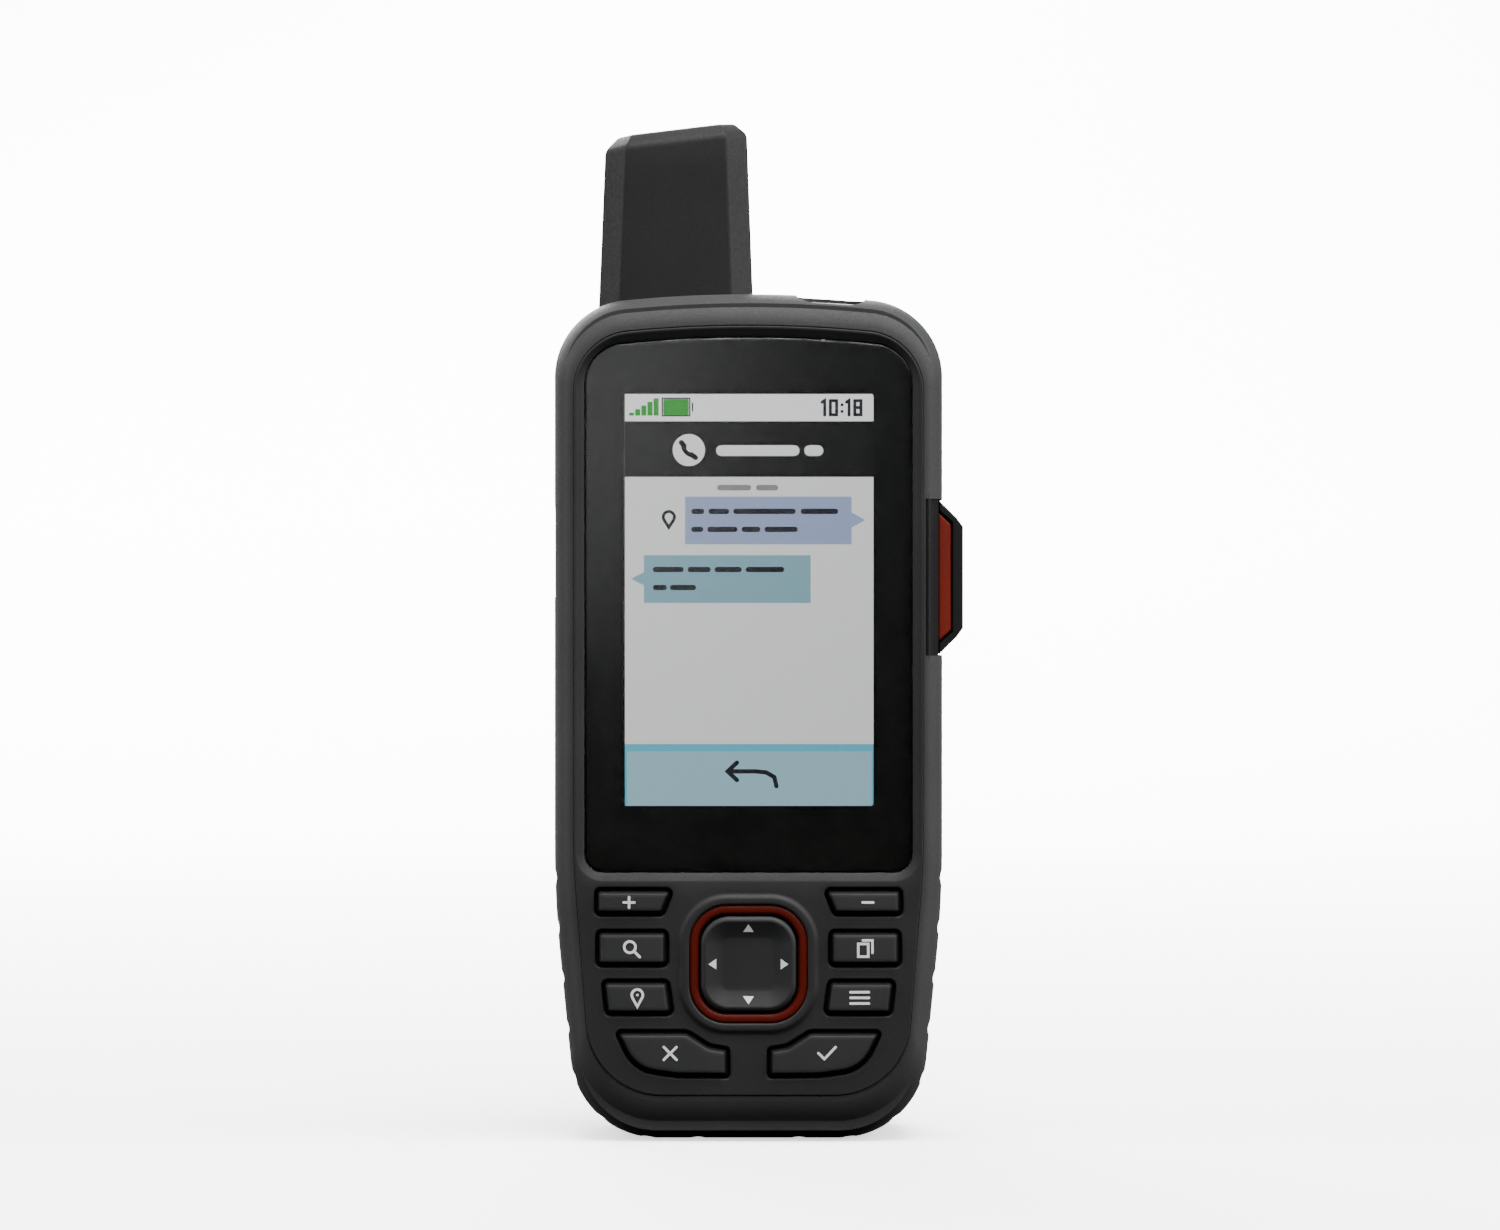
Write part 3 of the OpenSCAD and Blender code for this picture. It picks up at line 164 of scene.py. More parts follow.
def metalFinish(name, v):
    # turned or drawn metal: fine lines along one axis, slight tarnish
    material, tree, shader, place = newFinish(name)
    lines = noiseAt(tree, place, v["line"], 3.0, v["stretch"])
    tarnish = noiseAt(tree, place, 5.0, 3.0)
    colour = blendColours(tree, spread(tree, tarnish, 0, 1), v["colour"], v["shade"])
    tree.links.new(colour, shader.inputs["Base Color"])
    tree.links.new(spread(tree, lines, v["rough"][0], v["rough"][1]), shader.inputs["Roughness"])
    raiseGrain(tree, shader, [lines], [v["depth"]])
    shader.inputs["Metallic"].default_value = 1.0
    return material


def glassFinish(name, v):
    # hard clear glass with a soft coated front and the faintest smudges
    material, tree, shader, place = newFinish(name)
    smudge = noiseAt(tree, place, 11.0, 4.0)
    tree.links.new(spread(tree, smudge, 0.004, v["rough"]), shader.inputs["Roughness"])
    shader.inputs["Base Color"].default_value = (*v["colour"], 1)
    shader.inputs["Transmission Weight"].default_value = 1.0
    shader.inputs["IOR"].default_value = v["bend"]
    shader.inputs["Coat Weight"].default_value = v["coat"]
    shader.inputs["Coat Roughness"].default_value = v["coatRough"]
    return material


pictureGlow = 1.12


def litFinish(name, first, second, way=(0.6, 0, -1)):
    # a lit part of the picture: painted glare, its colour brighter at the top left and darker towards the
    # bottom right along one slope, over a faint grid of dots
    material, tree, shader, place = newFinish(name)
    split = tree.nodes.new("ShaderNodeVectorMath")
    split.operation = "DOT_PRODUCT"
    length = (way[0] ** 2 + way[2] ** 2) ** 0.5
    split.inputs[1].default_value = tuple(w / length for w in way)
    tree.links.new(place, split.inputs[0])
    # painted glare: the first colour at the top left, the darker second colour at the bottom right
    slope = spread(tree, split.outputs["Value"], 0, 1, -0.125, -0.045)
    dots = noiseAt(tree, place, 0.165, 1.0)
    total = tree.nodes.new("ShaderNodeMath")
    total.operation = "ADD"
    tree.links.new(slope, total.inputs[0])
    tree.links.new(spread(tree, dots, -0.08, 0.08), total.inputs[1])
    colour = blendColours(tree, total.outputs["Value"], first, second)
    tree.links.new(colour, shader.inputs["Emission Color"])
    shader.inputs["Emission Strength"].default_value = pictureGlow
    shader.inputs["Base Color"].default_value = (0.001, 0.001, 0.001, 1)
    shader.inputs["Specular IOR Level"].default_value = 0.0
    shader.inputs["Roughness"].default_value = 0.5
    return material


casePlastic = mouldedFinish("casePlastic", {
    "colour": (0.0115, 0.0115, 0.012), "shade": (0.009, 0.009, 0.0094), "grain": 0.34, "depth": 0.022,
    "rough": (0.5, 0.68), "gloss": 0.14})
bumperRubber = mouldedFinish("bumperRubber", {
    "colour": (0.017, 0.017, 0.0175), "shade": (0.0135, 0.0135, 0.014), "grain": 0.28, "depth": 0.018,
    "rough": (0.58, 0.78), "gloss": 0.18, "sheen": 0.02})
antennaPlastic = mouldedFinish("antennaPlastic", {
    "colour": (0.0078, 0.0078, 0.0081), "shade": (0.0064, 0.0064, 0.0066), "grain": 0.34, "depth": 0.022,
    "rough": (0.5, 0.68), "gloss": 0.1})
sealRubber = mouldedFinish("sealRubber", {
    "colour": (0.009, 0.009, 0.0095), "shade": (0.006, 0.006, 0.006), "grain": 0.4, "depth": 0.015,
    "rough": (0.6, 0.8), "gloss": 0.2})
# the key rubber's side colour is painted shade on the keys' rounded edges and sides
keyRubber = keyPaintedShadeFinish("keyRubber", {
    "colour": (0.0155, 0.0155, 0.016), "shade": (0.0125, 0.0125, 0.013), "grain": 0.2, "depth": 0.008,
    "rough": (0.52, 0.64), "gloss": 0.15, "side": (0.0022, 0.0022, 0.0023),
    "paintedShadeFrom": -17.49, "paintedShadeTo": -17.36})
rockerRubber = mouldedFinish("rockerRubber", {
    "colour": (0.0125, 0.0125, 0.013), "shade": (0.0105, 0.0105, 0.011), "grain": 0.2, "depth": 0.008,
    "rough": (0.5, 0.62), "gloss": 0.15})
blackPlastic = mouldedFinish("blackPlastic", {
    "colour": (0.0045, 0.0045, 0.0046), "shade": (0.0034, 0.0034, 0.0035), "grain": 0.22, "depth": 0.01,
    "rough": (0.45, 0.58), "gloss": 0.12})
redPlastic = mouldedFinish("redPlastic", {
    "colour": (0.095, 0.0065, 0.002), "shade": (0.08, 0.0055, 0.0016), "grain": 0.24, "depth": 0.01,
    "rough": (0.45, 0.6), "gloss": 0.12})
redTrim = mouldedFinish("redTrim", {
    "colour": (0.052, 0.0032, 0.0011), "shade": (0.045, 0.0027, 0.0009), "grain": 0.3, "depth": 0.004,
    "rough": (0.34, 0.46), "gloss": 0.1})
keyPaint = mouldedFinish("keyPaint", {
    "colour": (0.5, 0.5, 0.49), "shade": (0.42, 0.42, 0.41), "grain": 0.1, "depth": 0.003,
    "rough": (0.5, 0.7)})
blackPrint = mouldedFinish("blackPrint", {
    "colour": (0.001, 0.001, 0.001), "shade": (0.0007, 0.0007, 0.0007), "grain": 0.5, "depth": 0.001,
    "rough": (0.5, 0.6), "gloss": 0.0})
greenBoard = mouldedFinish("greenBoard", {
    "colour": (0.01, 0.08, 0.03), "shade": (0.02, 0.12, 0.05), "grain": 0.6, "drift": 1.2, "depth": 0.02,
    "rough": (0.25, 0.4), "coat": 0.4})
chipBlack = mouldedFinish("chipBlack", {
    "colour": (0.02, 0.02, 0.02), "shade": (0.03, 0.03, 0.03), "grain": 0.15, "depth": 0.006,
    "rough": (0.45, 0.6)})
flexFilm = mouldedFinish("flexFilm", {
    "colour": (0.4, 0.2, 0.04), "shade": (0.3, 0.14, 0.03), "grain": 0.5, "depth": 0.004,
    "rough": (0.25, 0.4), "coat": 0.5})
formerPlastic = mouldedFinish("formerPlastic", {
    "colour": (0.6, 0.58, 0.5), "shade": (0.52, 0.5, 0.43), "grain": 0.3, "depth": 0.008,
    "rough": (0.45, 0.6)})
packPlastic = mouldedFinish("packPlastic", {
    "colour": (0.03, 0.034, 0.042), "shade": (0.024, 0.027, 0.034), "grain": 0.26, "depth": 0.012,
    "rough": (0.35, 0.5)})
cellFoil = mouldedFinish("cellFoil", {
    "colour": (0.4, 0.42, 0.45), "shade": (0.3, 0.32, 0.36), "grain": 1.4, "depth": 0.03,
    "rough": (0.2, 0.35)})
clearGlue = mouldedFinish("clearGlue", {
    "colour": (0.02, 0.02, 0.02), "shade": (0.015, 0.015, 0.015), "grain": 0.4, "depth": 0.002,
    "rough": (0.3, 0.4)})
lightGuide = mouldedFinish("lightGuide", {
    "colour": (0.7, 0.72, 0.7), "shade": (0.62, 0.64, 0.62), "grain": 0.3, "depth": 0.004,
    "rough": (0.2, 0.3)})
panelGlass = mouldedFinish("panelGlass", {
    "colour": (0.012, 0.013, 0.014), "shade": (0.01, 0.01, 0.011), "grain": 0.165, "depth": 0.001,
    "rough": (0.15, 0.2)})
steel = metalFinish("steel", {
    "colour": (0.5, 0.5, 0.52), "shade": (0.4, 0.4, 0.42), "line": 0.12, "stretch": (1, 1, 12),
    "depth": 0.004, "rough": (0.22, 0.4)})
dieCast = metalFinish("dieCast", {
    "colour": (0.5, 0.5, 0.5), "shade": (0.42, 0.42, 0.43), "line": 0.4, "stretch": (1, 1, 1), "depth": 0.02,
    "rough": (0.35, 0.55)})
copper = metalFinish("copper", {
    "colour": (0.7, 0.35, 0.18), "shade": (0.55, 0.26, 0.14), "line": 0.2, "stretch": (1, 1, 6),
    "depth": 0.004, "rough": (0.18, 0.35)})
windowGlass = glassFinish("windowGlass", {
    "colour": (0.97, 0.98, 0.985), "rough": 0.014, "bend": 1.02, "coat": 0.5, "coatRough": 0.17})

slotFinishes = {
    "case_plastic": casePlastic, "bumper_rubber": bumperRubber, "antenna_plastic": antennaPlastic,
    "seal_rubber": sealRubber, "key_rubber": keyRubber, "black_plastic": blackPlastic,
    "red_plastic": redPlastic, "red_trim": redTrim, "window_glass": windowGlass,
    "black_print": blackPrint, "clear_adhesive": clearGlue,
    "display_glass": panelGlass, "light_guide": lightGuide, "die_cast": dieCast, "copper": copper,
    "flex_film": flexFilm, "circuit_board": greenBoard, "chip_black": chipBlack, "steel": steel,
    "former_plastic": formerPlastic, "cable_sheath": sealRubber, "battery_plastic": packPlastic,
    "cell_foil": cellFoil, "card_black": blackPlastic,
}
slotOf = {s["node"]: s["material_slot"] for s in frame["record"]["subparts"]}
bodyOf = {node: body for body, nodes in frame["record"]["behaviour"]["bodies"].items() for node in nodes}
for node, item in frame["nodes"].items():
    item.data.materials.clear()
    item.data.materials.append(slotFinishes[slotOf[node]])
print("finishes made:", len(bpy.data.materials))


# outlines are rounded polygons in X and Z, anticlockwise as seen from the front
def unitRows(v):
    return v / np.linalg.norm(v, axis=1, keepdims=True)


def leftOf(v):
    return np.stack([-v[:, 1], v[:, 0]], 1)


def movedCorners(corners, inset):
    # every side moves inwards by inset, and each corner goes to where its two sides now cross
    here = corners[:, :2]
    p = leftOf(unitRows(here - np.roll(here, 1, 0)))
    q = leftOf(unitRows(np.roll(here, -1, 0) - here))
    return here + inset * (p + q) / (1 + (p * q).sum(1))[:, None]


def outlinePlan(corners, step):
    # how many pieces each corner's arc and each straight side is cut into
    corners = np.array(corners, float)
    here = corners[:, :2]
    u, v = unitRows(here - np.roll(here, 1, 0)), unitRows(np.roll(here, -1, 0) - here)
    angle = np.arccos(np.clip((u * v).sum(1), -1, 1))
    arcs = np.maximum(6, np.ceil(corners[:, 2] * angle / step)).astype(int)
    sides = np.maximum(1, np.ceil(np.linalg.norm(np.roll(here, -1, 0) - here, axis=1) / step)).astype(int)
    return arcs, sides


def outlineRing(corners, inset, plan):
    # arc of radius r at each corner, tangent to both sides, joined by straight runs
    corners = np.array(corners, float)
    moved = movedCorners(corners, inset)
    before, after = np.roll(moved, 1, 0), np.roll(moved, -1, 0)
    u, v = unitRows(moved - before), unitRows(after - moved)
    side = np.where(u[:, 0] * v[:, 1] - u[:, 1] * v[:, 0] >= 0, 1.0, -1.0)
    angle = np.arccos(np.clip((u * v).sum(1), -1, 1))
    reach = np.tan(angle / 2)
    room = 0.98 * np.minimum(np.linalg.norm(moved - before, axis=1), np.linalg.norm(after - moved, axis=1))
    radius = np.minimum(np.maximum(corners[:, 2] - side * inset, 0.3), room / np.maximum(reach, 0.001))
    start = moved - u * (radius * reach)[:, None]
    arm = -leftOf(u) * (radius * side)[:, None]
    centre = start - arm
    runs = []
    for i, (arcs, sides) in enumerate(zip(*plan)):
        t = np.linspace(0, side[i] * angle[i], arcs + 1)
        arc = centre[i] + np.stack(
            [arm[i, 0] * np.cos(t) - arm[i, 1] * np.sin(t), arm[i, 0] * np.sin(t) + arm[i, 1] * np.cos(t)], 1)
        f = np.linspace(0, 1, sides + 1)[1:-1, None]
        runs += [arc, arc[-1] * (1 - f) + start[(i + 1) % len(corners)] * f]
    return np.concatenate(runs)


def atDepth(points, y):
    return np.stack([points[:, 0], np.full(len(points), y), points[:, 1]], 1)


def profiled(corners, profile, plan):
    # the outline carried back along a profile of (inset, depth) pairs: one ring for each pair
    return np.stack([atDepth(outlineRing(corners, inset, plan), y) for inset, y in profile])


def boxCorners(halfX, z0, z1, r, x=0.0, z=0.0):
    return [[x + halfX, z + z0, r], [x + halfX, z + z1, r], [x - halfX, z + z1, r], [x - halfX, z + z0, r]]


def mirrored(corners):
    return [[-x, z, r] for x, z, r in reversed(corners)]


# meshes
def ringFaces(count, rings, closed):
    # squares between neighbouring rings, facing outwards for anticlockwise rings that run front to back
    j = np.arange(rings if closed else rings - 1)[:, None]
    i = np.arange(count)[None, :]
    nextRing, nextPoint = (j + 1) % rings, (i + 1) % count
    corners = [j * count + i, nextRing * count + i, nextRing * count + nextPoint, j * count + nextPoint]
    return np.stack(corners, -1).reshape(-1, 4)


def enclosedVolume(mesh):
    mesh.calc_loop_triangles()
    corners = np.zeros(len(mesh.loop_triangles) * 3, np.int32)
    mesh.loop_triangles.foreach_get("vertices", corners)
    points = np.zeros(len(mesh.vertices) * 3)
    mesh.vertices.foreach_get("co", points)
    a, b, c = np.moveaxis(points.reshape(-1, 3)[corners.reshape(-1, 3)], 1, 0)
    return (a * np.cross(b, c)).sum() / 6


def finishMesh(mesh, sharp):
    if enclosedVolume(mesh) < 0:
        mesh.flip_normals()
    mesh.polygons.foreach_set("use_smooth", np.ones(len(mesh.polygons), bool))
    mesh.set_sharp_from_angle(angle=np.radians(sharp))
    mesh.update()


def addPiece(name, mesh, finish, body, nodes=(), slot=None):
    piece = bpy.data.objects.new(name, mesh)
    mesh.materials.clear()
    mesh.materials.append(finish)
    bpy.context.scene.collection.objects.link(piece)
    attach(piece, body)
    if nodes:
        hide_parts(*nodes)
    slot = slot or (slotOf[nodes[0]] if nodes else None)
    return piece


def meshFrom(name, points, faces, sharp=35.0):
    mesh = bpy.data.meshes.new(name)
    mesh.from_pydata((np.asarray(points) * toMetres).tolist(), [], faces)
    finishMesh(mesh, sharp)
    return mesh


def loftMesh(name, rings, sharp=35.0, closed=False):
    # rings joined by squares; both ends get a cap unless the last ring joins the first
    rings = np.asarray(rings)
    m, n = rings.shape[:2]
    faces = ringFaces(n, m, closed).tolist()
    if not closed:
        faces += [list(range(n)), list(range(m * n - 1, (m - 1) * n - 1, -1))]
    return meshFrom(name, rings.reshape(-1, 3), faces, sharp)


shapeStagger = 0.0015


def prismMesh(name, outlines, yFront, yBack, sharp=35.0):
    # flat outlines given thickness; yFront and yBack are numbers, or functions of X and Z
    points, faces, base = [], [], 0
    for k, shape in enumerate(outlines):
        shape = np.asarray(shape, float)
        n = len(shape)
        for y in (yFront, yBack):
            depth = y(shape[:, 0], shape[:, 1]) if callable(y) else np.full(n, y)
            depth = depth - shapeStagger * (k % 4)  # shapes that cross don't share a face
            points.append(np.stack([shape[:, 0], depth, shape[:, 1]], 1))
        faces += (ringFaces(n, 2, False) + base).tolist()
        faces += [list(range(base, base + n)), list(range(base + 2 * n - 1, base + n - 1, -1))]
        base += 2 * n
    return meshFrom(name, np.concatenate(points), faces, sharp)


def insideOutline(points, shape):
    # a point is inside when a ray to its right crosses the outline an odd number of times
    x, y = points[:, :1], points[:, 1:]
    ax, ay = shape[:, 0], shape[:, 1]
    bx, by = np.roll(ax, -1), np.roll(ay, -1)
    rise = np.where(by == ay, 1e-12, by - ay)
    crosses = ((ay > y) != (by > y)) & (x < (bx - ax) * (y - ay) / rise + ax)
    return crosses.sum(1) % 2 == 1


def plateMesh(name, loops, sharp=35.0):
    # a flat plate with holes: loops of rings, the outer one first, whose first rings lie in the front face
    # and whose last rings lie in the back face
    starts = np.cumsum([0] + [len(r.reshape(-1, 3)) for r in loops])
    points = np.concatenate([r.reshape(-1, 3) for r in loops])
    faces = []
    for k, r in enumerate(loops):
        quads = ringFaces(r.shape[1], r.shape[0], False) + starts[k]
        faces += (quads if k == 0 else quads[:, ::-1]).tolist()
    for which, flip in ((0, False), (-1, True)):
        flat = [r[which][:, [0, 2]] for r in loops]
        offsets = np.cumsum([0] + [len(f) for f in flat])
        owner = np.concatenate([
            starts[k] + (0 if which == 0 else (r.shape[0] - 1) * r.shape[1]) + np.arange(r.shape[1])
            for k, r in enumerate(loops)])
        edges = np.concatenate([
            np.stack([np.arange(len(f)), (np.arange(len(f)) + 1) % len(f)], 1) + offsets[k]
            for k, f in enumerate(flat)])
        spots = np.concatenate(flat)
        cut = delaunay_2d_cdt([Vector(p) for p in spots], edges.tolist(), [], 1, 1e-7)
        triangles = np.array(cut[2])
        middles = spots[triangles].mean(1)
        keep = ~np.any([insideOutline(middles, f) for f in flat[1:]], axis=0)
        triangles = owner[triangles[keep]]
        faces += (triangles[:, ::-1] if flip else triangles).tolist()
    return meshFrom(name, points, faces, sharp)


def carvedMesh(mesh, cutters, sharp=35.0):
    # takes closed cutter meshes out of a closed mesh
    body = bpy.data.objects.new("carving", mesh)
    bpy.context.scene.collection.objects.link(body)
    knives = []
    for cutter in cutters:
        knife = bpy.data.objects.new("knife", cutter)
        bpy.context.scene.collection.objects.link(knife)
        step = body.modifiers.new("cut", "BOOLEAN")
        step.operation, step.solver, step.object = "DIFFERENCE", "EXACT", knife
        knives.append(knife)
    bpy.context.view_layer.update()
    carved = bpy.data.meshes.new_from_object(body.evaluated_get(bpy.context.evaluated_depsgraph_get()))
    for item in [body, *knives]:
        bpy.data.objects.remove(item)
    finishMesh(carved, sharp)
    return carved


def softenedNode(node, edge, segments=2, angle=38.0):
    # the node's own solid with its sharp edges broken
    work = bmesh.new()
    work.from_mesh(frame["nodes"][node].data)
    bmesh.ops.remove_doubles(work, verts=work.verts, dist=2e-6)
    bmesh.ops.dissolve_limit(work, angle_limit=np.radians(0.8), verts=work.verts, edges=work.edges)
    mesh = bpy.data.meshes.new("soft_" + node)
    work.to_mesh(mesh)
    work.free()
    shape = bpy.data.objects.new("soft_" + node, mesh)
    bpy.context.scene.collection.objects.link(shape)
    bevel = shape.modifiers.new("edge", "BEVEL")
    bevel.width, bevel.segments, bevel.limit_method = edge * toMetres, segments, "ANGLE"
    bevel.angle_limit, bevel.use_clamp_overlap, bevel.harden_normals = np.radians(angle), True, False
    bpy.context.view_layer.update()
    done = bpy.data.meshes.new_from_object(shape.evaluated_get(bpy.context.evaluated_depsgraph_get()))
    bpy.data.objects.remove(shape)
    finishMesh(done, 45.0)
    piece = addPiece("soft_" + node, done, slotFinishes[slotOf[node]], bodyOf[node], [node])
    normals = piece.modifiers.new("normals", "WEIGHTED_NORMAL")  # wide flat faces shade flat
    normals.weight, normals.keep_sharp = 100, True
    return piece


# the case's outline, the panel's and the window's, right half first
caseValues = {
    "corners": [[27.2, 0, 14], [31, 38, 180], [31, 132.92, 12.4], [0, 135.71, 200],
                [-31, 132.92, 12.4], [-31, 38, 180], [-27.2, 0, 14]],
    "step": 0.45,
}
panelValues = {
    "corners": [[24.8, 7.5, 12], [27.7, 45, 150], [27.7, 127.72, 9.5], [0, 130.21, 200],
                [-27.7, 127.72, 9.5], [-27.7, 45, 150], [-24.8, 7.5, 12]],
    "front": -17.0, "back": -14.2, "lip": 0.24,
}
windowValues = {
    "corners": [[26.05, 42.7, 3], [26.05, 126.2, 6.5], [0, 128.56, 200],
                [-26.05, 126.2, 6.5], [-26.05, 42.7, 3]],
    "front": -16.45, "back": -15.25, "upperRound": 6.5,
}
# each key's opening on the right-hand side
keyValues = {
    "zoom": [[13.4, 35.8, 1], [24.5, 35.8, 1], [24.5, 40.4, 1], [11.5, 40.4, 1]],
    "find": [[12.6, 27.7, 1.1], [24.3, 27.7, 1.1], [24.3, 33.8, 1.1], [12.6, 33.8, 1.1]],
    "mark": [[11.7, 20, 1.1], [22.8, 20, 1.1], [23.5, 25.9, 1.1], [12.5, 25.9, 1.1]],
    "quit": [[2.9, 10.1, 0.7], [11.5, 10.2, 10], [18.3, 11.2, 6.5], [21.6, 17.9, 0.9], [9.6, 17.9, 2.5],
             [6, 15.6, 2.5], [2.9, 15.1, 0.8]],
}
keyNodes = {
    "zoom": ["zoom_in_key", "zoom_out_key"], "find": ["find_key", "page_key"],
    "mark": ["mark_key", "menu_key"], "quit": ["quit_key", "enter_key"],
}
rockerValues = {"centre": 28.3, "opening": 9.4, "openingRound": 6.0, "cap": 7.55, "capRound": 4.5}
quarter = np.linspace(0, np.pi / 2, 6)


def middleOf(node):
    low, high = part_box(node)
    return (np.array(low) + np.array(high)) / 2 / toMetres


def lipProfile(v, lip):
    # flat face, quarter round of radius lip, then straight down to the back
    y = v["front"]
    return [(-lip - 0.14, y)] + [
        (-lip * (1 - np.sin(t)), y + lip * (1 - np.cos(t))) for t in quarter] + [(0.0, v["back"])]


def addFrontPanel():
    v = panelValues
    outerPlan = outlinePlan(v["corners"], 0.7)
    edge = 0.15
    outer = [(edge + 0.04, v["front"])] + [
        (edge * (1 - np.sin(t)), v["front"] + edge * (1 - np.cos(t))) for t in quarter] + [(0.0, v["back"])]
    loops = [profiled(v["corners"], outer, outerPlan)]
    slope = [(-1.33, -17.0), (-1.26, -16.985), (-1.16, -16.94), (-0.12, -16.5), (-0.03, -16.44),
             (0.0, -16.35), (0.0, v["back"])]
    # the slope's upper corners open out as it rises, to stay inside the panel's own corners
    w = windowValues
    plan = outlinePlan(w["corners"], 0.6)
    opened = []
    for inset, y in slope:
        corners = [[x, z, r - min(inset, 0) * (r == w["upperRound"])] for x, z, r in w["corners"]]
        opened.append(atDepth(outlineRing(corners, inset, plan), y))
    loops.append(np.stack(opened))
    for shape in keyValues.values():
        for corners in (shape, mirrored(shape)):
            loops.append(profiled(corners, lipProfile(v, v["lip"]), outlinePlan(corners, 0.3)))
    # the collar round the rocker rises in half a wave and ends in a small round
    r = rockerValues
    opening = boxCorners(r["opening"], -r["opening"], r["opening"], r["openingRound"], 0, r["centre"])
    t = np.linspace(0, 1, 9)
    wave = [(-1.85 + 0.95 * s, v["front"] - 0.2 * (1 - np.cos(np.pi * s))) for s in t]
    rim = [(-0.35, v["front"] - 0.4), (-0.16, v["front"] - 0.37), (-0.05, v["front"] - 0.28),
           (0.0, v["front"] - 0.15)]
    collar = [(-2.0, v["front"])] + wave + rim + [(0.0, v["back"])]
    loops.append(profiled(opening, collar, outlinePlan(opening, 0.3)))
    mesh = plateMesh("front_panel", loops)
    addPiece("front_panel", mesh, casePlastic, "handset", ["front_housing"])


addFrontPanel()


def addWindow():
    v = windowValues
    profile = [(0.9, v["front"]), (0.42, v["front"]), (0.3, v["front"] + 0.02), (0.14, v["front"] + 0.13),
               (0.07, v["front"] + 0.28), (0.06, v["front"] + 0.4), (0.06, v["back"])]
    mesh = loftMesh("window", profiled(v["corners"], profile, outlinePlan(v["corners"], 0.5)))
    addPiece("window", mesh, windowGlass, "handset", ["window_glass"])


addWindow()
print("front panel and window made")

bumperValues = {
    "front": -16.7, "shoulder": -9.5, "backShoulder": 11.0, "back": 14.8, "backInset": 3.6, "wall": 1.8,
    "innerFront": -15.45, "innerBack": 13.45, "grooves": 8, "groovePitch": 8.05, "grooveRadius": 2.2,
    "grooveOut": 1.85,
}


def grooveCentres(v):
    # points along the lower edge, spaced by the pitch from the middle of the foot, moved out by grooveOut
    ring = outlineRing(caseValues["corners"], 0.0, outlinePlan(caseValues["corners"], 0.2))
    low = int(np.argmin(np.abs(ring[:, 0]) + 50 * (ring[:, 1] > 1)))
    ring = np.roll(ring, -low, 0)
    run = np.concatenate([[0], np.cumsum(np.linalg.norm(np.diff(ring, axis=0), axis=1))]) + ring[0, 0]
    wanted = v["groovePitch"] * np.arange(1, v["grooves"] + 1)
    spots = np.stack([np.interp(wanted, run, ring[:, 0]), np.interp(wanted, run, ring[:, 1])], 1)
    ahead = np.stack([np.interp(wanted + 0.3, run, ring[:, 0]), np.interp(wanted + 0.3, run, ring[:, 1])], 1)
    spots = spots - leftOf(unitRows(ahead - spots)) * v["grooveOut"]
    return np.concatenate([spots, spots * [-1, 1]])


def pressGrooves(rings, centres, radius):
    # every point nearer to a groove's axis than its radius moves straight away from the axis onto it
    flat = rings[..., [0, 2]]
    for centre in centres:
        away = flat - centre
        distance = np.linalg.norm(away, axis=-1, keepdims=True)
        flat = np.where(distance < radius, centre + away / np.maximum(distance, 1e-6) * radius, flat)
    return np.stack([flat[..., 0], rings[..., 1], flat[..., 1]], -1)


def addBumper():
    v = bumperValues
    plan = outlinePlan(caseValues["corners"], caseValues["step"])
    case = caseValues["corners"]
    panelRing = outlineRing(panelValues["corners"], 0.05, plan)
    caseRing = outlineRing(case, 0.0, plan)
    roll = [atDepth(panelRing * (1 - np.sin(a)) + caseRing * np.sin(a),
                    v["shoulder"] + (v["front"] - v["shoulder"]) * np.cos(a))
            for a in np.radians(np.linspace(3, 90, 17))]
    straight = [atDepth(caseRing, y) for y in (-5.0, 0.0, 5.5)]
    back = [atDepth(outlineRing(case, v["backInset"] * (1 - np.cos(a)), plan),
                    v["backShoulder"] + (v["back"] - v["backShoulder"]) * np.sin(a))
            for a in np.radians(np.linspace(0, 88, 11))]
    outer = pressGrooves(np.stack(roll + straight + back), grooveCentres(v), v["grooveRadius"])
    lead = [atDepth(panelRing, v["innerFront"]), atDepth(panelRing, v["front"] + 0.2)]
    wall = [atDepth(outlineRing(case, v["backInset"], plan), v["back"] - 0.1),
            atDepth(outlineRing(case, v["backInset"], plan), v["innerBack"]),
            atDepth(outlineRing(case, v["wall"], plan), v["innerBack"]),
            atDepth(outlineRing(case, v["wall"], plan), v["innerFront"])]
    mesh = loftMesh("bumper", np.concatenate([np.stack(lead), outer, np.stack(wall)]), closed=True)
    addPiece("bumper", carvedMesh(mesh, bumperCutters()), bumperRubber, "handset", ["grip_bumper"])


antennaValues = {
    "x": -11.65, "foot": 130.4, "top": 163.0, "slant": 2.7, "width": 25.0, "depth": 20.4, "bevel": 3.4,
    "draft": 1.3, "round": 0.8, "crown": 3.3,
}


def antennaRing(inset, z, slant, v, grow=0.0):
    # an oblong with cut corners in X and Y, which leans in with height and tips with slant
    lean = v["draft"] * (z - v["foot"]) / (v["top"] - v["foot"])
    w, h, b, r = v["width"] / 2 - lean, v["depth"] / 2 - lean, v["bevel"], v["round"]
    corners = [[w - b, -h, r], [w, b - h, r], [w, h - b, r], [w - b, h, r],
               [b - w, h, r], [-w, h - b, r], [-w, b - h, r], [b - w, -h, r]]
    flat = outlineRing(corners, inset - grow, (np.full(8, 5), np.full(8, 3)))
    return np.stack([v["x"] + flat[:, 0], flat[:, 1], z + slant * (flat[:, 0] + w) / (2 * w)], 1)


powerValues = {"x": 13.1, "y": -9.0, "half": (5.25, 5.0), "round": 3.0, "floor": 131.5, "proud": 0.35,
               "gap": 0.25}
sosValues = {"z": 89.6, "half": 12.45, "x": 27.85, "front": -16.65, "back": 5.85}
usbValues = {"y": -7.8, "z": 94.0, "half": (4.02, 7.52)}


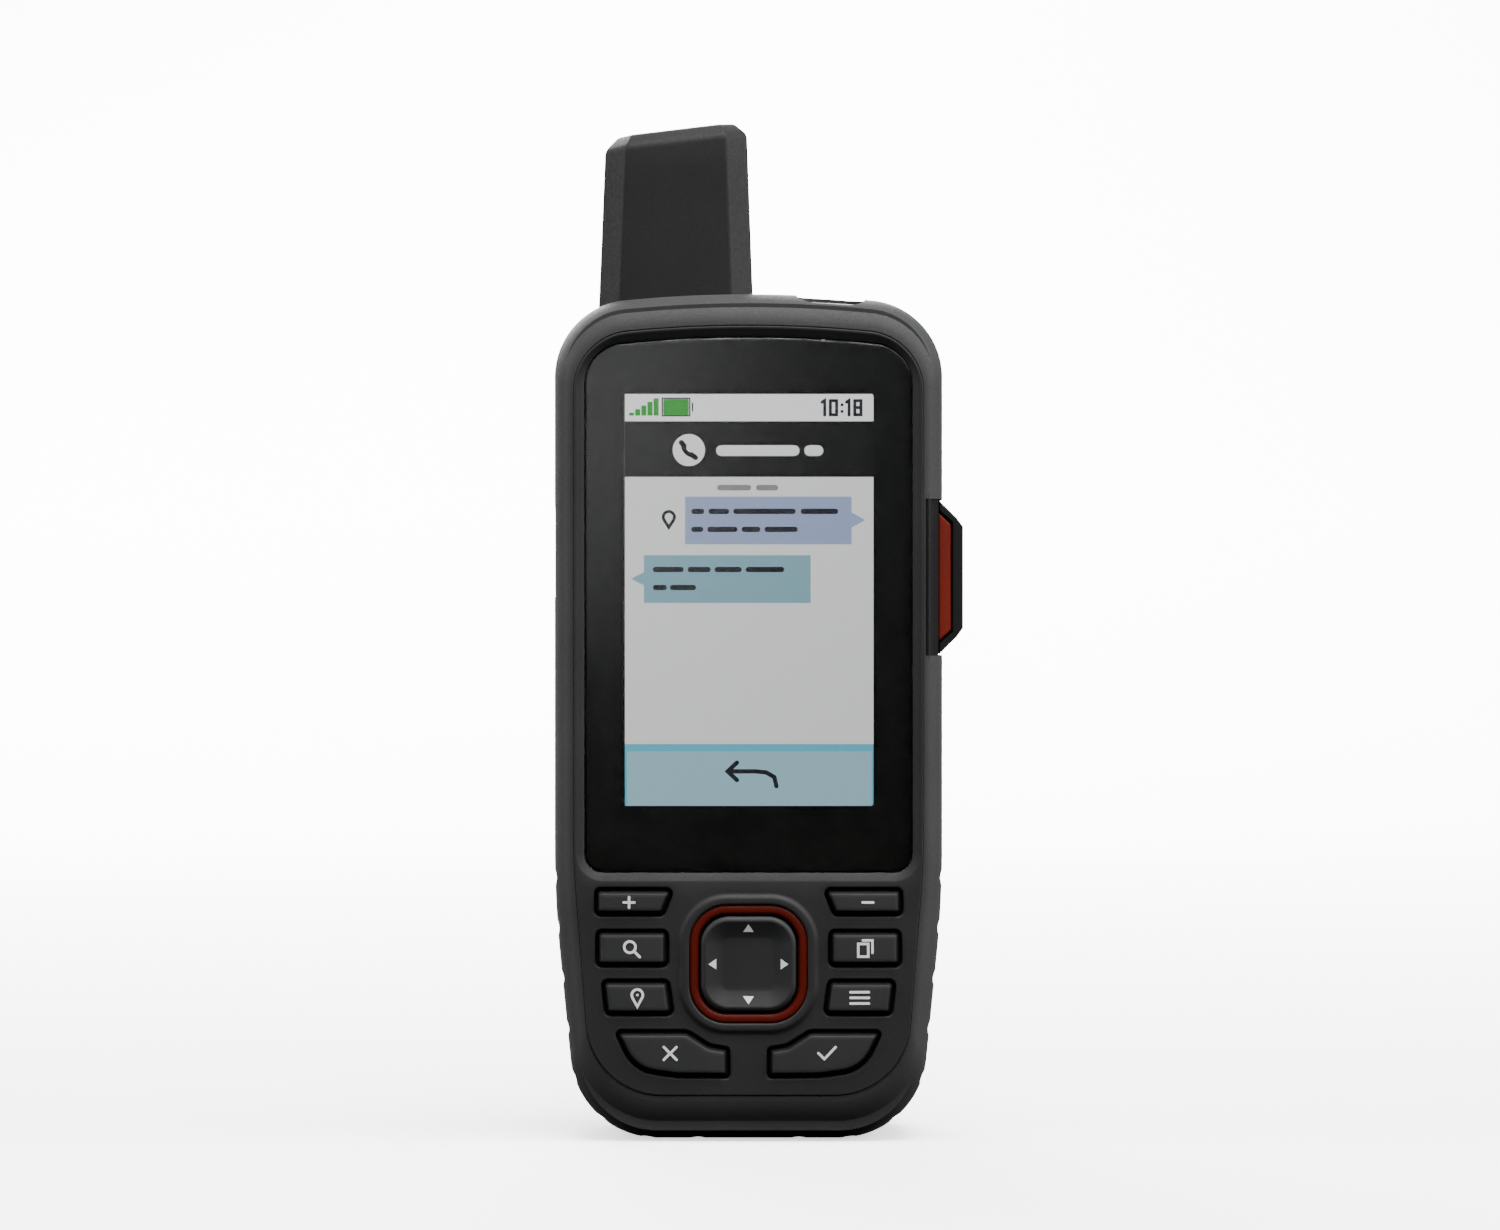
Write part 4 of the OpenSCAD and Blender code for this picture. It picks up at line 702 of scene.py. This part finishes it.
def uprightRings(corners, zs):
    # an outline in X and Y carried up through heights
    flat = outlineRing(corners, 0.0, outlinePlan(corners, 0.4))
    return np.stack([np.stack([flat[:, 0], flat[:, 1], np.full(len(flat), z)], 1) for z in zs])


def powerCorners(gap):
    # the power button's outline in X and Y, or its opening's, which lies a gap further out
    v = powerValues
    x0, x1 = v["x"] - v["half"][0] - gap, v["x"] + v["half"][0] + gap
    y0, y1 = v["y"] - v["half"][1] - gap, v["y"] + v["half"][1] + gap
    return [[x1, y0, v["round"]], [x1, y1, v["round"]], [x0, y1, v["round"]], [x0, y0, v["round"]]]


def bumperCutters():
    a, p, s, u = antennaValues, powerValues, sosValues, usbValues
    antenna = np.stack([antennaRing(0, z, 0, a, 0.2) for z in (a["foot"] - 0.5, a["foot"] + 8)])
    button = uprightRings(powerCorners(p["gap"]), (p["floor"] - 0.4, 140.0))
    sides = [[s["x"] + 6, s["front"], 0.31], [s["x"] + 6, s["back"], 0.31], [s["x"], s["back"], 0.31],
             [s["x"], s["front"], 0.31]]
    switch = uprightRings(sides, (s["z"] - s["half"], s["z"] + s["half"]))
    flat = outlineRing([[u["half"][0], -u["half"][1], 0.4], [u["half"][0], u["half"][1], 2.5],
                        [-u["half"][0], u["half"][1], 2.5], [-u["half"][0], -u["half"][1], 0.4]], 0.0,
                       (np.full(4, 6), np.full(4, 2)))
    socket = np.stack([np.stack([np.full(len(flat), x), u["y"] + flat[:, 0], u["z"] + flat[:, 1]], 1)
                       for x in (-33.0, -28.8)])
    return [loftMesh("cutter", rings) for rings in (antenna, button, switch, socket)]


addBumper()
print("bumper made")


def addAntenna():
    v = antennaValues
    low = v["top"] - v["slant"]
    shoulder = low - v["crown"]
    # a flat chamfer between two small rounds
    crown = [(3.1, 0.0), (2.6, 0.01), (2.3, 0.06), (2.0, 0.17), (1.75, 0.33), (1.1, 0.97), (0.5, 1.57),
             (0.3, 1.82), (0.14, 2.12), (0.04, 2.45), (0.0, 2.8)]
    rings = [antennaRing(3.7, low, v["slant"], v)]
    rings += [antennaRing(d, low - down, v["slant"], v) for d, down in crown]
    sides = [antennaRing(0, shoulder - (shoulder - v["foot"] - 0.5) * f, v["slant"] * (1 - f), v)
             for f in (0.12, 0.5, 0.88, 1.0)]
    rings += sides + [antennaRing(0.12, v["foot"] + 0.12, 0, v), antennaRing(0.4, v["foot"], 0, v)]
    mesh = loftMesh("antenna_shell", np.stack(rings))
    addPiece("antenna_shell", mesh, antennaPlastic, "handset", ["antenna_cover"])


addAntenna()


crownValues = {"slope": 0.09, "blend": 18, "blendLift": 0.1, "sink": 0.75, "roll": 5.5}


def crownHeight(x, y):
    # the bumper's skin above a point: the crown's slope, less its roll towards the panel
    v, b = crownValues, bumperValues
    peak = caseValues["corners"][3][1]
    lift = peak - v["slope"] * np.sqrt(x ** 2 + v["blend"] ** 2) + v["slope"] * v["blend"] * v["blendLift"]
    t = np.arccos(np.clip((b["shoulder"] - y) / (b["shoulder"] - b["front"]), 0, 1))
    return lift - v["sink"] - v["roll"] * (1 - np.sin(t))


def addPowerButton():
    v = powerValues
    corners = powerCorners(0)
    plan = outlinePlan(corners, 0.35)
    rings = []
    for inset in (4.0, 2.6, 1.6, 0.9, 0.6, 0.4, 0.24, 0.12, 0.04, 0.0):
        flat = outlineRing(corners, inset, plan)
        fall = 0.6 * (1 - np.sqrt(1 - (1 - min(inset / 0.6, 1)) ** 2))
        height = crownHeight(flat[:, 0], flat[:, 1]) + v["proud"] - fall
        rings.append(np.stack([flat[:, 0], flat[:, 1], height], 1))
    base = outlineRing(corners, 0.0, plan)
    rings.append(np.stack([base[:, 0], base[:, 1], np.full(len(base), v["floor"] + 0.6)], 1))
    mesh = loftMesh("power_key", np.stack(rings))
    addPiece("power_key", mesh, blackPlastic, "power_button", ["power_button"])


addPowerButton()
print("antenna and power button made")

keyShape = {"gap": 0.35, "bevel": 0.72, "top": -17.5, "foot": -14.1, "flange": 0.6, "flangeBack": -13.3}


def addKeys():
    v = keyShape
    edge = v["gap"] + v["bevel"]
    profile = [(edge + 0.5, v["top"] - 0.02), (edge, v["top"] - 0.015), (edge - 0.06, v["top"] + 0.01),
               (edge - 0.11, v["top"] + 0.06), (edge - 0.16, v["top"] + 0.16), (v["gap"] + 0.08, -16.25),
               (v["gap"] + 0.01, -16.1), (v["gap"], -15.9), (v["gap"], v["foot"]),
               (-v["flange"], v["foot"]), (-v["flange"], v["flangeBack"])]
    for kind, nodes in keyNodes.items():
        for node in nodes:
            corners = keyValues[kind] if middleOf(node)[0] > 0 else mirrored(keyValues[kind])
            rings = profiled(corners, profile, outlinePlan(corners, 0.3))
            addPiece(node + "_top", loftMesh(node + "_top", rings), keyRubber, node, [node])


addKeys()


rockerFace = {
    "inset": [0, 0.1, 0.3, 0.55, 0.8, 1.05, 3.2, 3.45, 9],
    "depth": [-16.9, -17.18, -17.38, -17.5, -17.52, -17.42, -16.66, -16.62, -16.62],
    "foot": -13.45, "flange": 0.85, "back": -12.9,
}


def rockerDepth(inset):
    # the cap's face: flat middle, sloping dish, rolled rim
    return np.interp(inset, rockerFace["inset"], rockerFace["depth"])


def addRocker():
    r = rockerValues
    cap = boxCorners(r["cap"], -r["cap"], r["cap"], r["capRound"], 0, r["centre"])
    plan = outlinePlan(cap, 0.3)
    insets = [3.9, 3.45, 3.32, 3.2, 2.1, 1.05, 0.92, 0.8, 0.67, 0.55, 0.42, 0.3, 0.19, 0.1, 0.03, 0.0]
    f = rockerFace
    profile = [(d, float(rockerDepth(d))) for d in insets] + [
        (0.0, f["foot"]), (-f["flange"], f["foot"]), (-f["flange"], f["back"])]
    mesh = loftMesh("rocker_top", profiled(cap, profile, plan))
    addPiece("rocker_top", mesh, rockerRubber, "rocker", ["rocker_cap"])
    opening = boxCorners(r["opening"], -r["opening"], r["opening"], r["openingRound"], 0, r["centre"])
    section = [(0.06, -14.25), (0.06, -16.8), (0.12, -17.0), (0.26, -17.12), (0.45, -17.16), (1.05, -17.16),
               (1.28, -17.1), (1.42, -16.98), (1.48, -16.8), (1.48, -14.25)]
    rings = profiled(opening, section, outlinePlan(opening, 0.3))
    mesh = loftMesh("rocker_ring", rings, closed=True)
    addPiece("rocker_ring", mesh, redTrim, "handset", ["rocker_trim_ring"])


addRocker()
print("keys and rocker made")


# a painted mark is a plate along a stroke
def ribbonShape(run, width, rounded):
    # both edges of a bent line, half a width to either side of it, joined by half circles or by square ends
    run = np.asarray(run, float)
    step = unitRows(np.diff(run, axis=0))
    before, after = np.vstack([step[:1], step]), np.vstack([step, step[-1:]])
    middle = unitRows(before + after)
    reach = width / 2 / np.maximum((middle * before).sum(1, keepdims=True), 0.5)
    side = leftOf(middle) * reach
    a = np.linspace(-np.pi / 2, np.pi / 2, 7)[1:-1] if rounded else np.zeros(0)
    ends = []
    for way, spot in ((step[-1], run[-1]), (-step[0], run[0])):
        turn = np.arctan2(way[1], way[0])
        ends.append(spot + width / 2 * np.stack([np.cos(a + turn), np.sin(a + turn)], 1))
    return np.concatenate([run - side, ends[0], (run + side)[::-1], ends[1]])


def strokeShapes(strokes, width, centre=(0, 0), size=1.0):
    # one outline for an open stroke; a closed one is cut into two halves that meet end to end
    shapes = []
    for stroke in strokes:
        run = np.asarray(stroke, float) * size + np.array(centre)
        if len(run) > 3 and np.allclose(run[0], run[-1]):
            half = len(run) // 2
            first = (run[half - 1] + run[half]) / 2
            run = np.vstack([run[:half], first, run[half:]])
            start = (run[0] + run[1]) / 2
            loop = np.vstack([start, run[1:-1], run[0], start])
            shapes += [ribbonShape(loop[:half + 1], width, False), ribbonShape(loop[half:], width, False)]
        else:
            shapes.append(ribbonShape(run, width, True))
    return shapes


def discShape(x, z, r, count=40):
    a = np.linspace(0, 2 * np.pi, count, endpoint=False)
    return np.stack([x + r * np.cos(a), z + r * np.sin(a)], 1)


def arcPoints(x, z, r, start, end, count=14):
    a = np.radians(np.linspace(start, end, count))
    return np.stack([x + r * np.cos(a), z + r * np.sin(a)], 1).tolist()


markValues = {"width": 0.4, "height": 0.05, "size": 1.12}
keyMarks = {
    "zoom_in_key": [[(-0.75, 0), (0.75, 0)], [(0, -0.75), (0, 0.75)]],
    "zoom_out_key": [[(-0.75, 0), (0.75, 0)]],
    "find_key": [arcPoints(-0.25, 0.25, 0.8, 0, 360, 22), [(0.35, -0.35), (1.15, -1.15)]],
    "page_key": [[(-1.0, -1.1), (-1.0, 0.7), (0.4, 0.7), (0.4, -1.1), (-1.0, -1.1)],
                 [(-0.35, 1.2), (1.0, 1.2), (1.0, -0.55)]],
    "mark_key": [arcPoints(0, 0.4, 0.78, -30, 210, 18), [(0.68, 0.01), (0, -1.25), (-0.68, 0.01)],
                 [(0, 0.4), (0.02, 0.4)]],
    "menu_key": [[(-1.3, 0.8), (1.3, 0.8)], [(-1.3, 0), (1.3, 0)], [(-1.3, -0.8), (1.3, -0.8)]],
    "quit_key": [[(-0.9, -0.9), (0.9, 0.9)], [(-0.9, 0.9), (0.9, -0.9)]],
    "enter_key": [[(-1.2, 0.05), (-0.35, -0.8), (1.25, 0.9)]],
}
keyMarkPlaces = {"zoom": (18.9, 38.1), "find": (18.5, 30.75), "mark": (17.6, 23.0), "quit": (12.4, 14.2)}


def addMarks():
    v = markValues
    top = keyShape["top"] - 0.02
    for kind, nodes in keyNodes.items():
        for node in nodes:
            x, z = keyMarkPlaces[kind]
            x = x if middleOf(node)[0] > 0 else -x
            shapes = strokeShapes(keyMarks[node], v["width"], (x, z), v["size"])
            mesh = prismMesh(node + "_mark", shapes, top - v["height"], top + 0.05)
            addPiece(node + "_mark", mesh, keyPaint, node, slot="key_rubber")
    # four arrowheads that follow the dish's slope
    r = rockerValues
    arrow = np.array([[0.72, 0], [-0.5, 0.85], [-0.5, -0.85]])

    def slope(x, z, lift):
        inset = r["cap"] - np.maximum(np.abs(x), np.abs(z - r["centre"]))
        return rockerDepth(inset) + lift

    shapes = []
    for turn in np.radians([0, 90, 180, 270]):
        spin = np.array([[np.cos(turn), -np.sin(turn)], [np.sin(turn), np.cos(turn)]])
        shapes.append((arrow + [5.6, 0]) @ spin.T + [0, r["centre"]])
    mesh = prismMesh("rocker_arrows", shapes, lambda x, z: slope(x, z, -0.05), lambda x, z: slope(x, z, 0.06))
    addPiece("rocker_arrows", mesh, keyPaint, "rocker", slot="key_rubber")


addMarks()
print("marks painted")

# the display's picture: places are dots from its top left corner
pictureValues = {
    "width": 39.6, "height": 65.5, "dotsAcross": 240, "dotsDown": 400, "x": 0.15, "z": 86.0, "front": -14.1,
    "layer": 0.018, "thickness": 0.012,
}


def onPicture(points):
    v = pictureValues
    points = np.asarray(points, float)
    return np.stack([v["x"] + (points[..., 0] / v["dotsAcross"] - 0.5) * v["width"],
                     v["z"] + (0.5 - points[..., 1] / v["dotsDown"]) * v["height"]], -1)


def boxDots(x0, y0, x1, y1, r=0.0):
    if r == 0:
        return np.array([[x0, y1], [x1, y1], [x1, y0], [x0, y0]], float)
    corners = [[x1, y0, r], [x1, y1, r], [x0, y1, r], [x0, y0, r]]
    return outlineRing(corners, 0.0, (np.full(4, 5), np.full(4, 1)))


def addLayer(name, shapes, level, finish):
    # one lit layer of the picture, lying a little in front of the one below
    v = pictureValues
    front = v["front"] - v["layer"] * (level + 1)
    placed = []
    for shape in shapes:
        spots = onPicture(shape)
        turn = np.cross(np.append(spots[1] - spots[0], 0), np.append(spots[2] - spots[1], 0))[2]
        placed.append(spots if turn > 0 else spots[::-1])
    mesh = prismMesh(name, placed, front, front + v["thickness"])
    addPiece(name, mesh, finish, "handset", slot="display_glass")


def addPicture():
    # each finish runs from its first, brighter colour to its second, darker one as painted glare
    pale = litFinish("picturePale", (0.8, 0.8, 0.8), (0.68, 0.68, 0.68))
    bar = litFinish("pictureBar", (0.92, 0.92, 0.92), (0.86, 0.86, 0.86))
    dark = litFinish("pictureDark", (0.006, 0.006, 0.006), (0.001, 0.001, 0.001))
    ink = litFinish("pictureInk", (0.02, 0.022, 0.026), (0.012, 0.014, 0.018))
    faint = litFinish("pictureFaint", (0.25, 0.25, 0.25), (0.2, 0.2, 0.2))
    white = litFinish("pictureWhite", (0.85, 0.85, 0.85), (0.72, 0.72, 0.72))
    green = litFinish("pictureGreen", (0.02, 0.3, 0.028), (0.018, 0.27, 0.025))
    sent = litFinish("pictureSent", (0.3, 0.37, 0.56), (0.26, 0.32, 0.5))
    received = litFinish("pictureReceived", (0.22, 0.4, 0.47), (0.18, 0.34, 0.41))
    reply = litFinish("pictureReply", (0.3, 0.5, 0.57), (0.26, 0.45, 0.52))
    rim = litFinish("pictureRim", (0.11, 0.45, 0.6), (0.09, 0.4, 0.53))
    addLayer("picture_ground", [boxDots(0, 80.5, 240, 340)], 0, pale)
    addLayer("picture_status", [boxDots(0, 0, 240, 26.5)], 0, bar)
    addLayer("picture_header", [boxDots(0, 26.5, 240, 80.5)], 0, dark)
    addLayer("picture_rim", [boxDots(0, 340, 240, 400)], 0, rim)
    addLayer("picture_reply", [boxDots(2, 347, 238, 400)], 1, reply)
    signal = [boxDots(4 + 5.9 * k, 18.2 - 3.5 * k, 8.9 + 5.9 * k, 21) for k in range(5)]
    addLayer("picture_signal", signal + [boxDots(37, 5, 61.5, 20.5, 1.2)], 1, green)
    digits = [
        [(190, 8), (192.5, 6.2), (192.5, 20.5)],
        [(198, 6.5), (204, 6.5), (204, 20.2), (198, 20.2), (198, 6.5)],
        [(209.2, 10.5), (209.3, 10.5)], [(209.2, 17), (209.3, 17)], [(213.6, 8), (216, 6.2), (216, 20.5)],
        [(221.5, 6.5), (227.5, 6.5), (227.5, 20.2), (221.5, 20.2), (221.5, 6.5)],
        [(221.5, 13.2), (227.5, 13.2)]]
    edges = [[(36, 4.2), (62.5, 4.2), (62.5, 21.2), (36, 21.2), (36, 4.2)], [(65.2, 9), (65.2, 16.5)]]
    handset = [arcPoints(67.4, 48.6, 11.5, 105, 165, 8)]
    addLayer("picture_clock", strokeShapes(digits, 3.0) + strokeShapes(edges, 1.3), 2, ink)
    addLayer("picture_badge", [discShape(61.6, 54.5, 15.6)], 1, white)
    ends = strokeShapes([[(54.4, 47.2), (57.2, 50.6)], [(64.0, 58.8), (68.0, 61.8)]], 5.0)
    addLayer("picture_handset", strokeShapes(handset, 4.2) + ends, 2, dark)
    addLayer("picture_name", strokeShapes([[(93, 55), (163, 55)], [(178, 55), (186, 55)]], 10.5), 1, white)
    addLayer("picture_date", strokeShapes([[(91.5, 91), (119, 91)], [(129, 91), (145, 91)]], 5.5), 1, faint)
    tail = np.array([[218, 130], [231.7, 122.5], [218, 114.8]])
    addLayer("picture_sent", [boxDots(58, 99.7, 218.4, 146), tail], 1, sent)
    beak = np.array([[18.6, 173], [5.6, 179.5], [18.6, 186]])
    addLayer("picture_received", [boxDots(18.3, 156.6, 179, 203), beak], 1, received)
    lines = [
        [(66.5, 114), (74, 114)], [(83, 114), (98, 114)], [(107, 114), (162, 114)], [(172, 114), (203, 114)],
        [(66.5, 131.5), (73, 131.5)], [(82, 131.5), (106, 131.5)], [(115, 131.5), (128, 131.5)],
        [(137, 131.5), (164, 131.5)], [(29.5, 170.5), (54, 170.5)], [(63, 170.5), (80, 170.5)],
        [(89, 170.5), (110, 170.5)], [(119, 170.5), (151, 170.5)], [(29.5, 188), (38, 188)],
        [(46, 188), (66, 188)]]
    addLayer("picture_lines", strokeShapes(lines, 5.2), 2, ink)
    pin = [arcPoints(42.3, 119.5, 5.4, 150, 390, 16), [(37.6, 122.2), (42.3, 129.6), (47, 122.2)]]
    addLayer("picture_pin", strokeShapes(pin, 3.0), 1, ink)
    arrow = [[(146, 381), (144, 372), (136, 367.5), (126, 366.5), (100, 366.5)],
             [(108, 358), (99, 366.5), (108, 375)]]
    addLayer("picture_answer", strokeShapes(arrow, 4.2), 2, ink)


addPicture()
print("picture laid")

# CAD solids whose sharp edges only need breaking
for node, edge in {
    "rear_housing": 0.3, "sos_frame": 0.18, "sos_guard": 0.3, "sos_button": 0.35, "sos_cap": 0.35,
    "usb_cap": 0.3, "battery_door": 0.35, "door_lock": 0.25, "d_ring": 0.25, "mounting_spine": 0.3,
}.items():
    softenedNode(node, edge)
print("edges broken")

# the studio, in metres
studioValues = {
    "near": -2.4, "far": 1.6, "half": 2.6, "bend": 0.7, "height": 3.0, "across": 9, "base": 1.2, "glow": 9.0,
    "glowFrom": 0.1, "glowTo": 1.3, "paper": (0.82, 0.82, 0.82), "paperLight": (0.86, 0.86, 0.86),
    "airStrength": 3.5,
}


def addStudio():
    # a floor that runs back and turns up in a quarter circle
    v = studioValues
    t = np.linspace(0, 1, 25)
    ahead = np.stack([v["near"] + (v["far"] - v["bend"] - v["near"]) * t, 0 * t], 1)
    a = np.linspace(0, np.pi / 2, 20)[1:]
    curve = np.stack([v["far"] - v["bend"] + v["bend"] * np.sin(a), v["bend"] * (1 - np.cos(a))], 1)
    path = np.concatenate([ahead, curve, [[v["far"], v["height"]]]])
    n = v["across"]
    across = np.linspace(-v["half"], v["half"], n)
    points = np.stack([np.tile(across, len(path)), np.repeat(path[:, 0], n), np.repeat(path[:, 1], n)], 1)
    j, i = np.arange(len(path) - 1)[:, None], np.arange(n - 1)[None, :]
    faces = np.stack([j * n + i, j * n + i + 1, (j + 1) * n + i + 1, (j + 1) * n + i], -1).reshape(-1, 4)
    mesh = bpy.data.meshes.new("studio")
    mesh.from_pydata(points.tolist(), [], faces.tolist())
    mesh.polygons.foreach_set("use_smooth", np.ones(len(mesh.polygons), bool))
    studio = bpy.data.objects.new("studio", mesh)
    bpy.context.scene.collection.objects.link(studio)
    material, tree, shader, place = newFinish("studioPaper")
    away = tree.nodes.new("ShaderNodeSeparateXYZ")
    tree.links.new(place, away.inputs[0])
    glow = spread(tree, away.outputs["Y"], v["base"], v["glow"], v["glowFrom"], v["glowTo"])
    grain = noiseAt(tree, place, 2.0)
    tree.links.new(blendColours(tree, grain, v["paper"], v["paperLight"]), shader.inputs["Base Color"])
    shader.inputs["Roughness"].default_value = 0.85
    shader.inputs["Specular IOR Level"].default_value = 0.1
    shader.inputs["Emission Color"].default_value = (1, 1, 1, 1)
    tree.links.new(glow, shader.inputs["Emission Strength"])
    mesh.materials.append(material)
    # only the camera sees the paper, so the lamps alone shape the object
    studio.visible_glossy = studio.visible_diffuse = studio.visible_transmission = False


lightValues = {
    "overhead": {"place": (0.2, -0.35, 1.35), "aim": (0, 0, 0.05), "size": (1.0, 0.8), "power": 72.0},
    "right": {"place": (1.3, -0.15, 0.6), "aim": (0, 0, 0.08), "size": (0.7, 1.2), "power": 42.0},
    "left": {"place": (-1.3, -0.15, 0.6), "aim": (0, 0, 0.08), "size": (0.7, 1.2), "power": 36.0},
    "fill": {"place": (0.45, -1.4, 0.85), "aim": (0, 0, 0.08), "size": (1.2, 0.6), "power": 22.0},
    "back": {"place": (-0.35, 1.25, 0.9), "aim": (0, 0, 0.08), "size": (1.2, 0.8), "power": 75.0},
    "window": {"place": (-0.15, -1.0, 0.23), "aim": (0, 0, 0.1), "size": (0.28, 0.28), "power": 0.5},
}


def addLights():
    for name, v in lightValues.items():
        data = bpy.data.lights.new(name, "AREA")
        data.shape, data.size, data.size_y, data.energy = "RECTANGLE", v["size"][0], v["size"][1], v["power"]
        lamp = bpy.data.objects.new(name, data)
        lamp.location = v["place"]
        lamp.rotation_euler = (Vector(v["aim"]) - Vector(v["place"])).to_track_quat("-Z", "Y").to_euler()
        lamp.visible_camera = False
        bpy.context.scene.collection.objects.link(lamp)
    world = bpy.data.worlds.new("studioAir")
    world.use_nodes = True
    world.node_tree.nodes["Background"].inputs["Color"].default_value = (1, 1, 1, 1)
    world.node_tree.nodes["Background"].inputs["Strength"].default_value = studioValues["airStrength"]
    bpy.context.scene.world = world
    sight = world.cycles_visibility
    sight.diffuse = sight.glossy = sight.transmission = False


addStudio()
addLights()
print("studio lit")
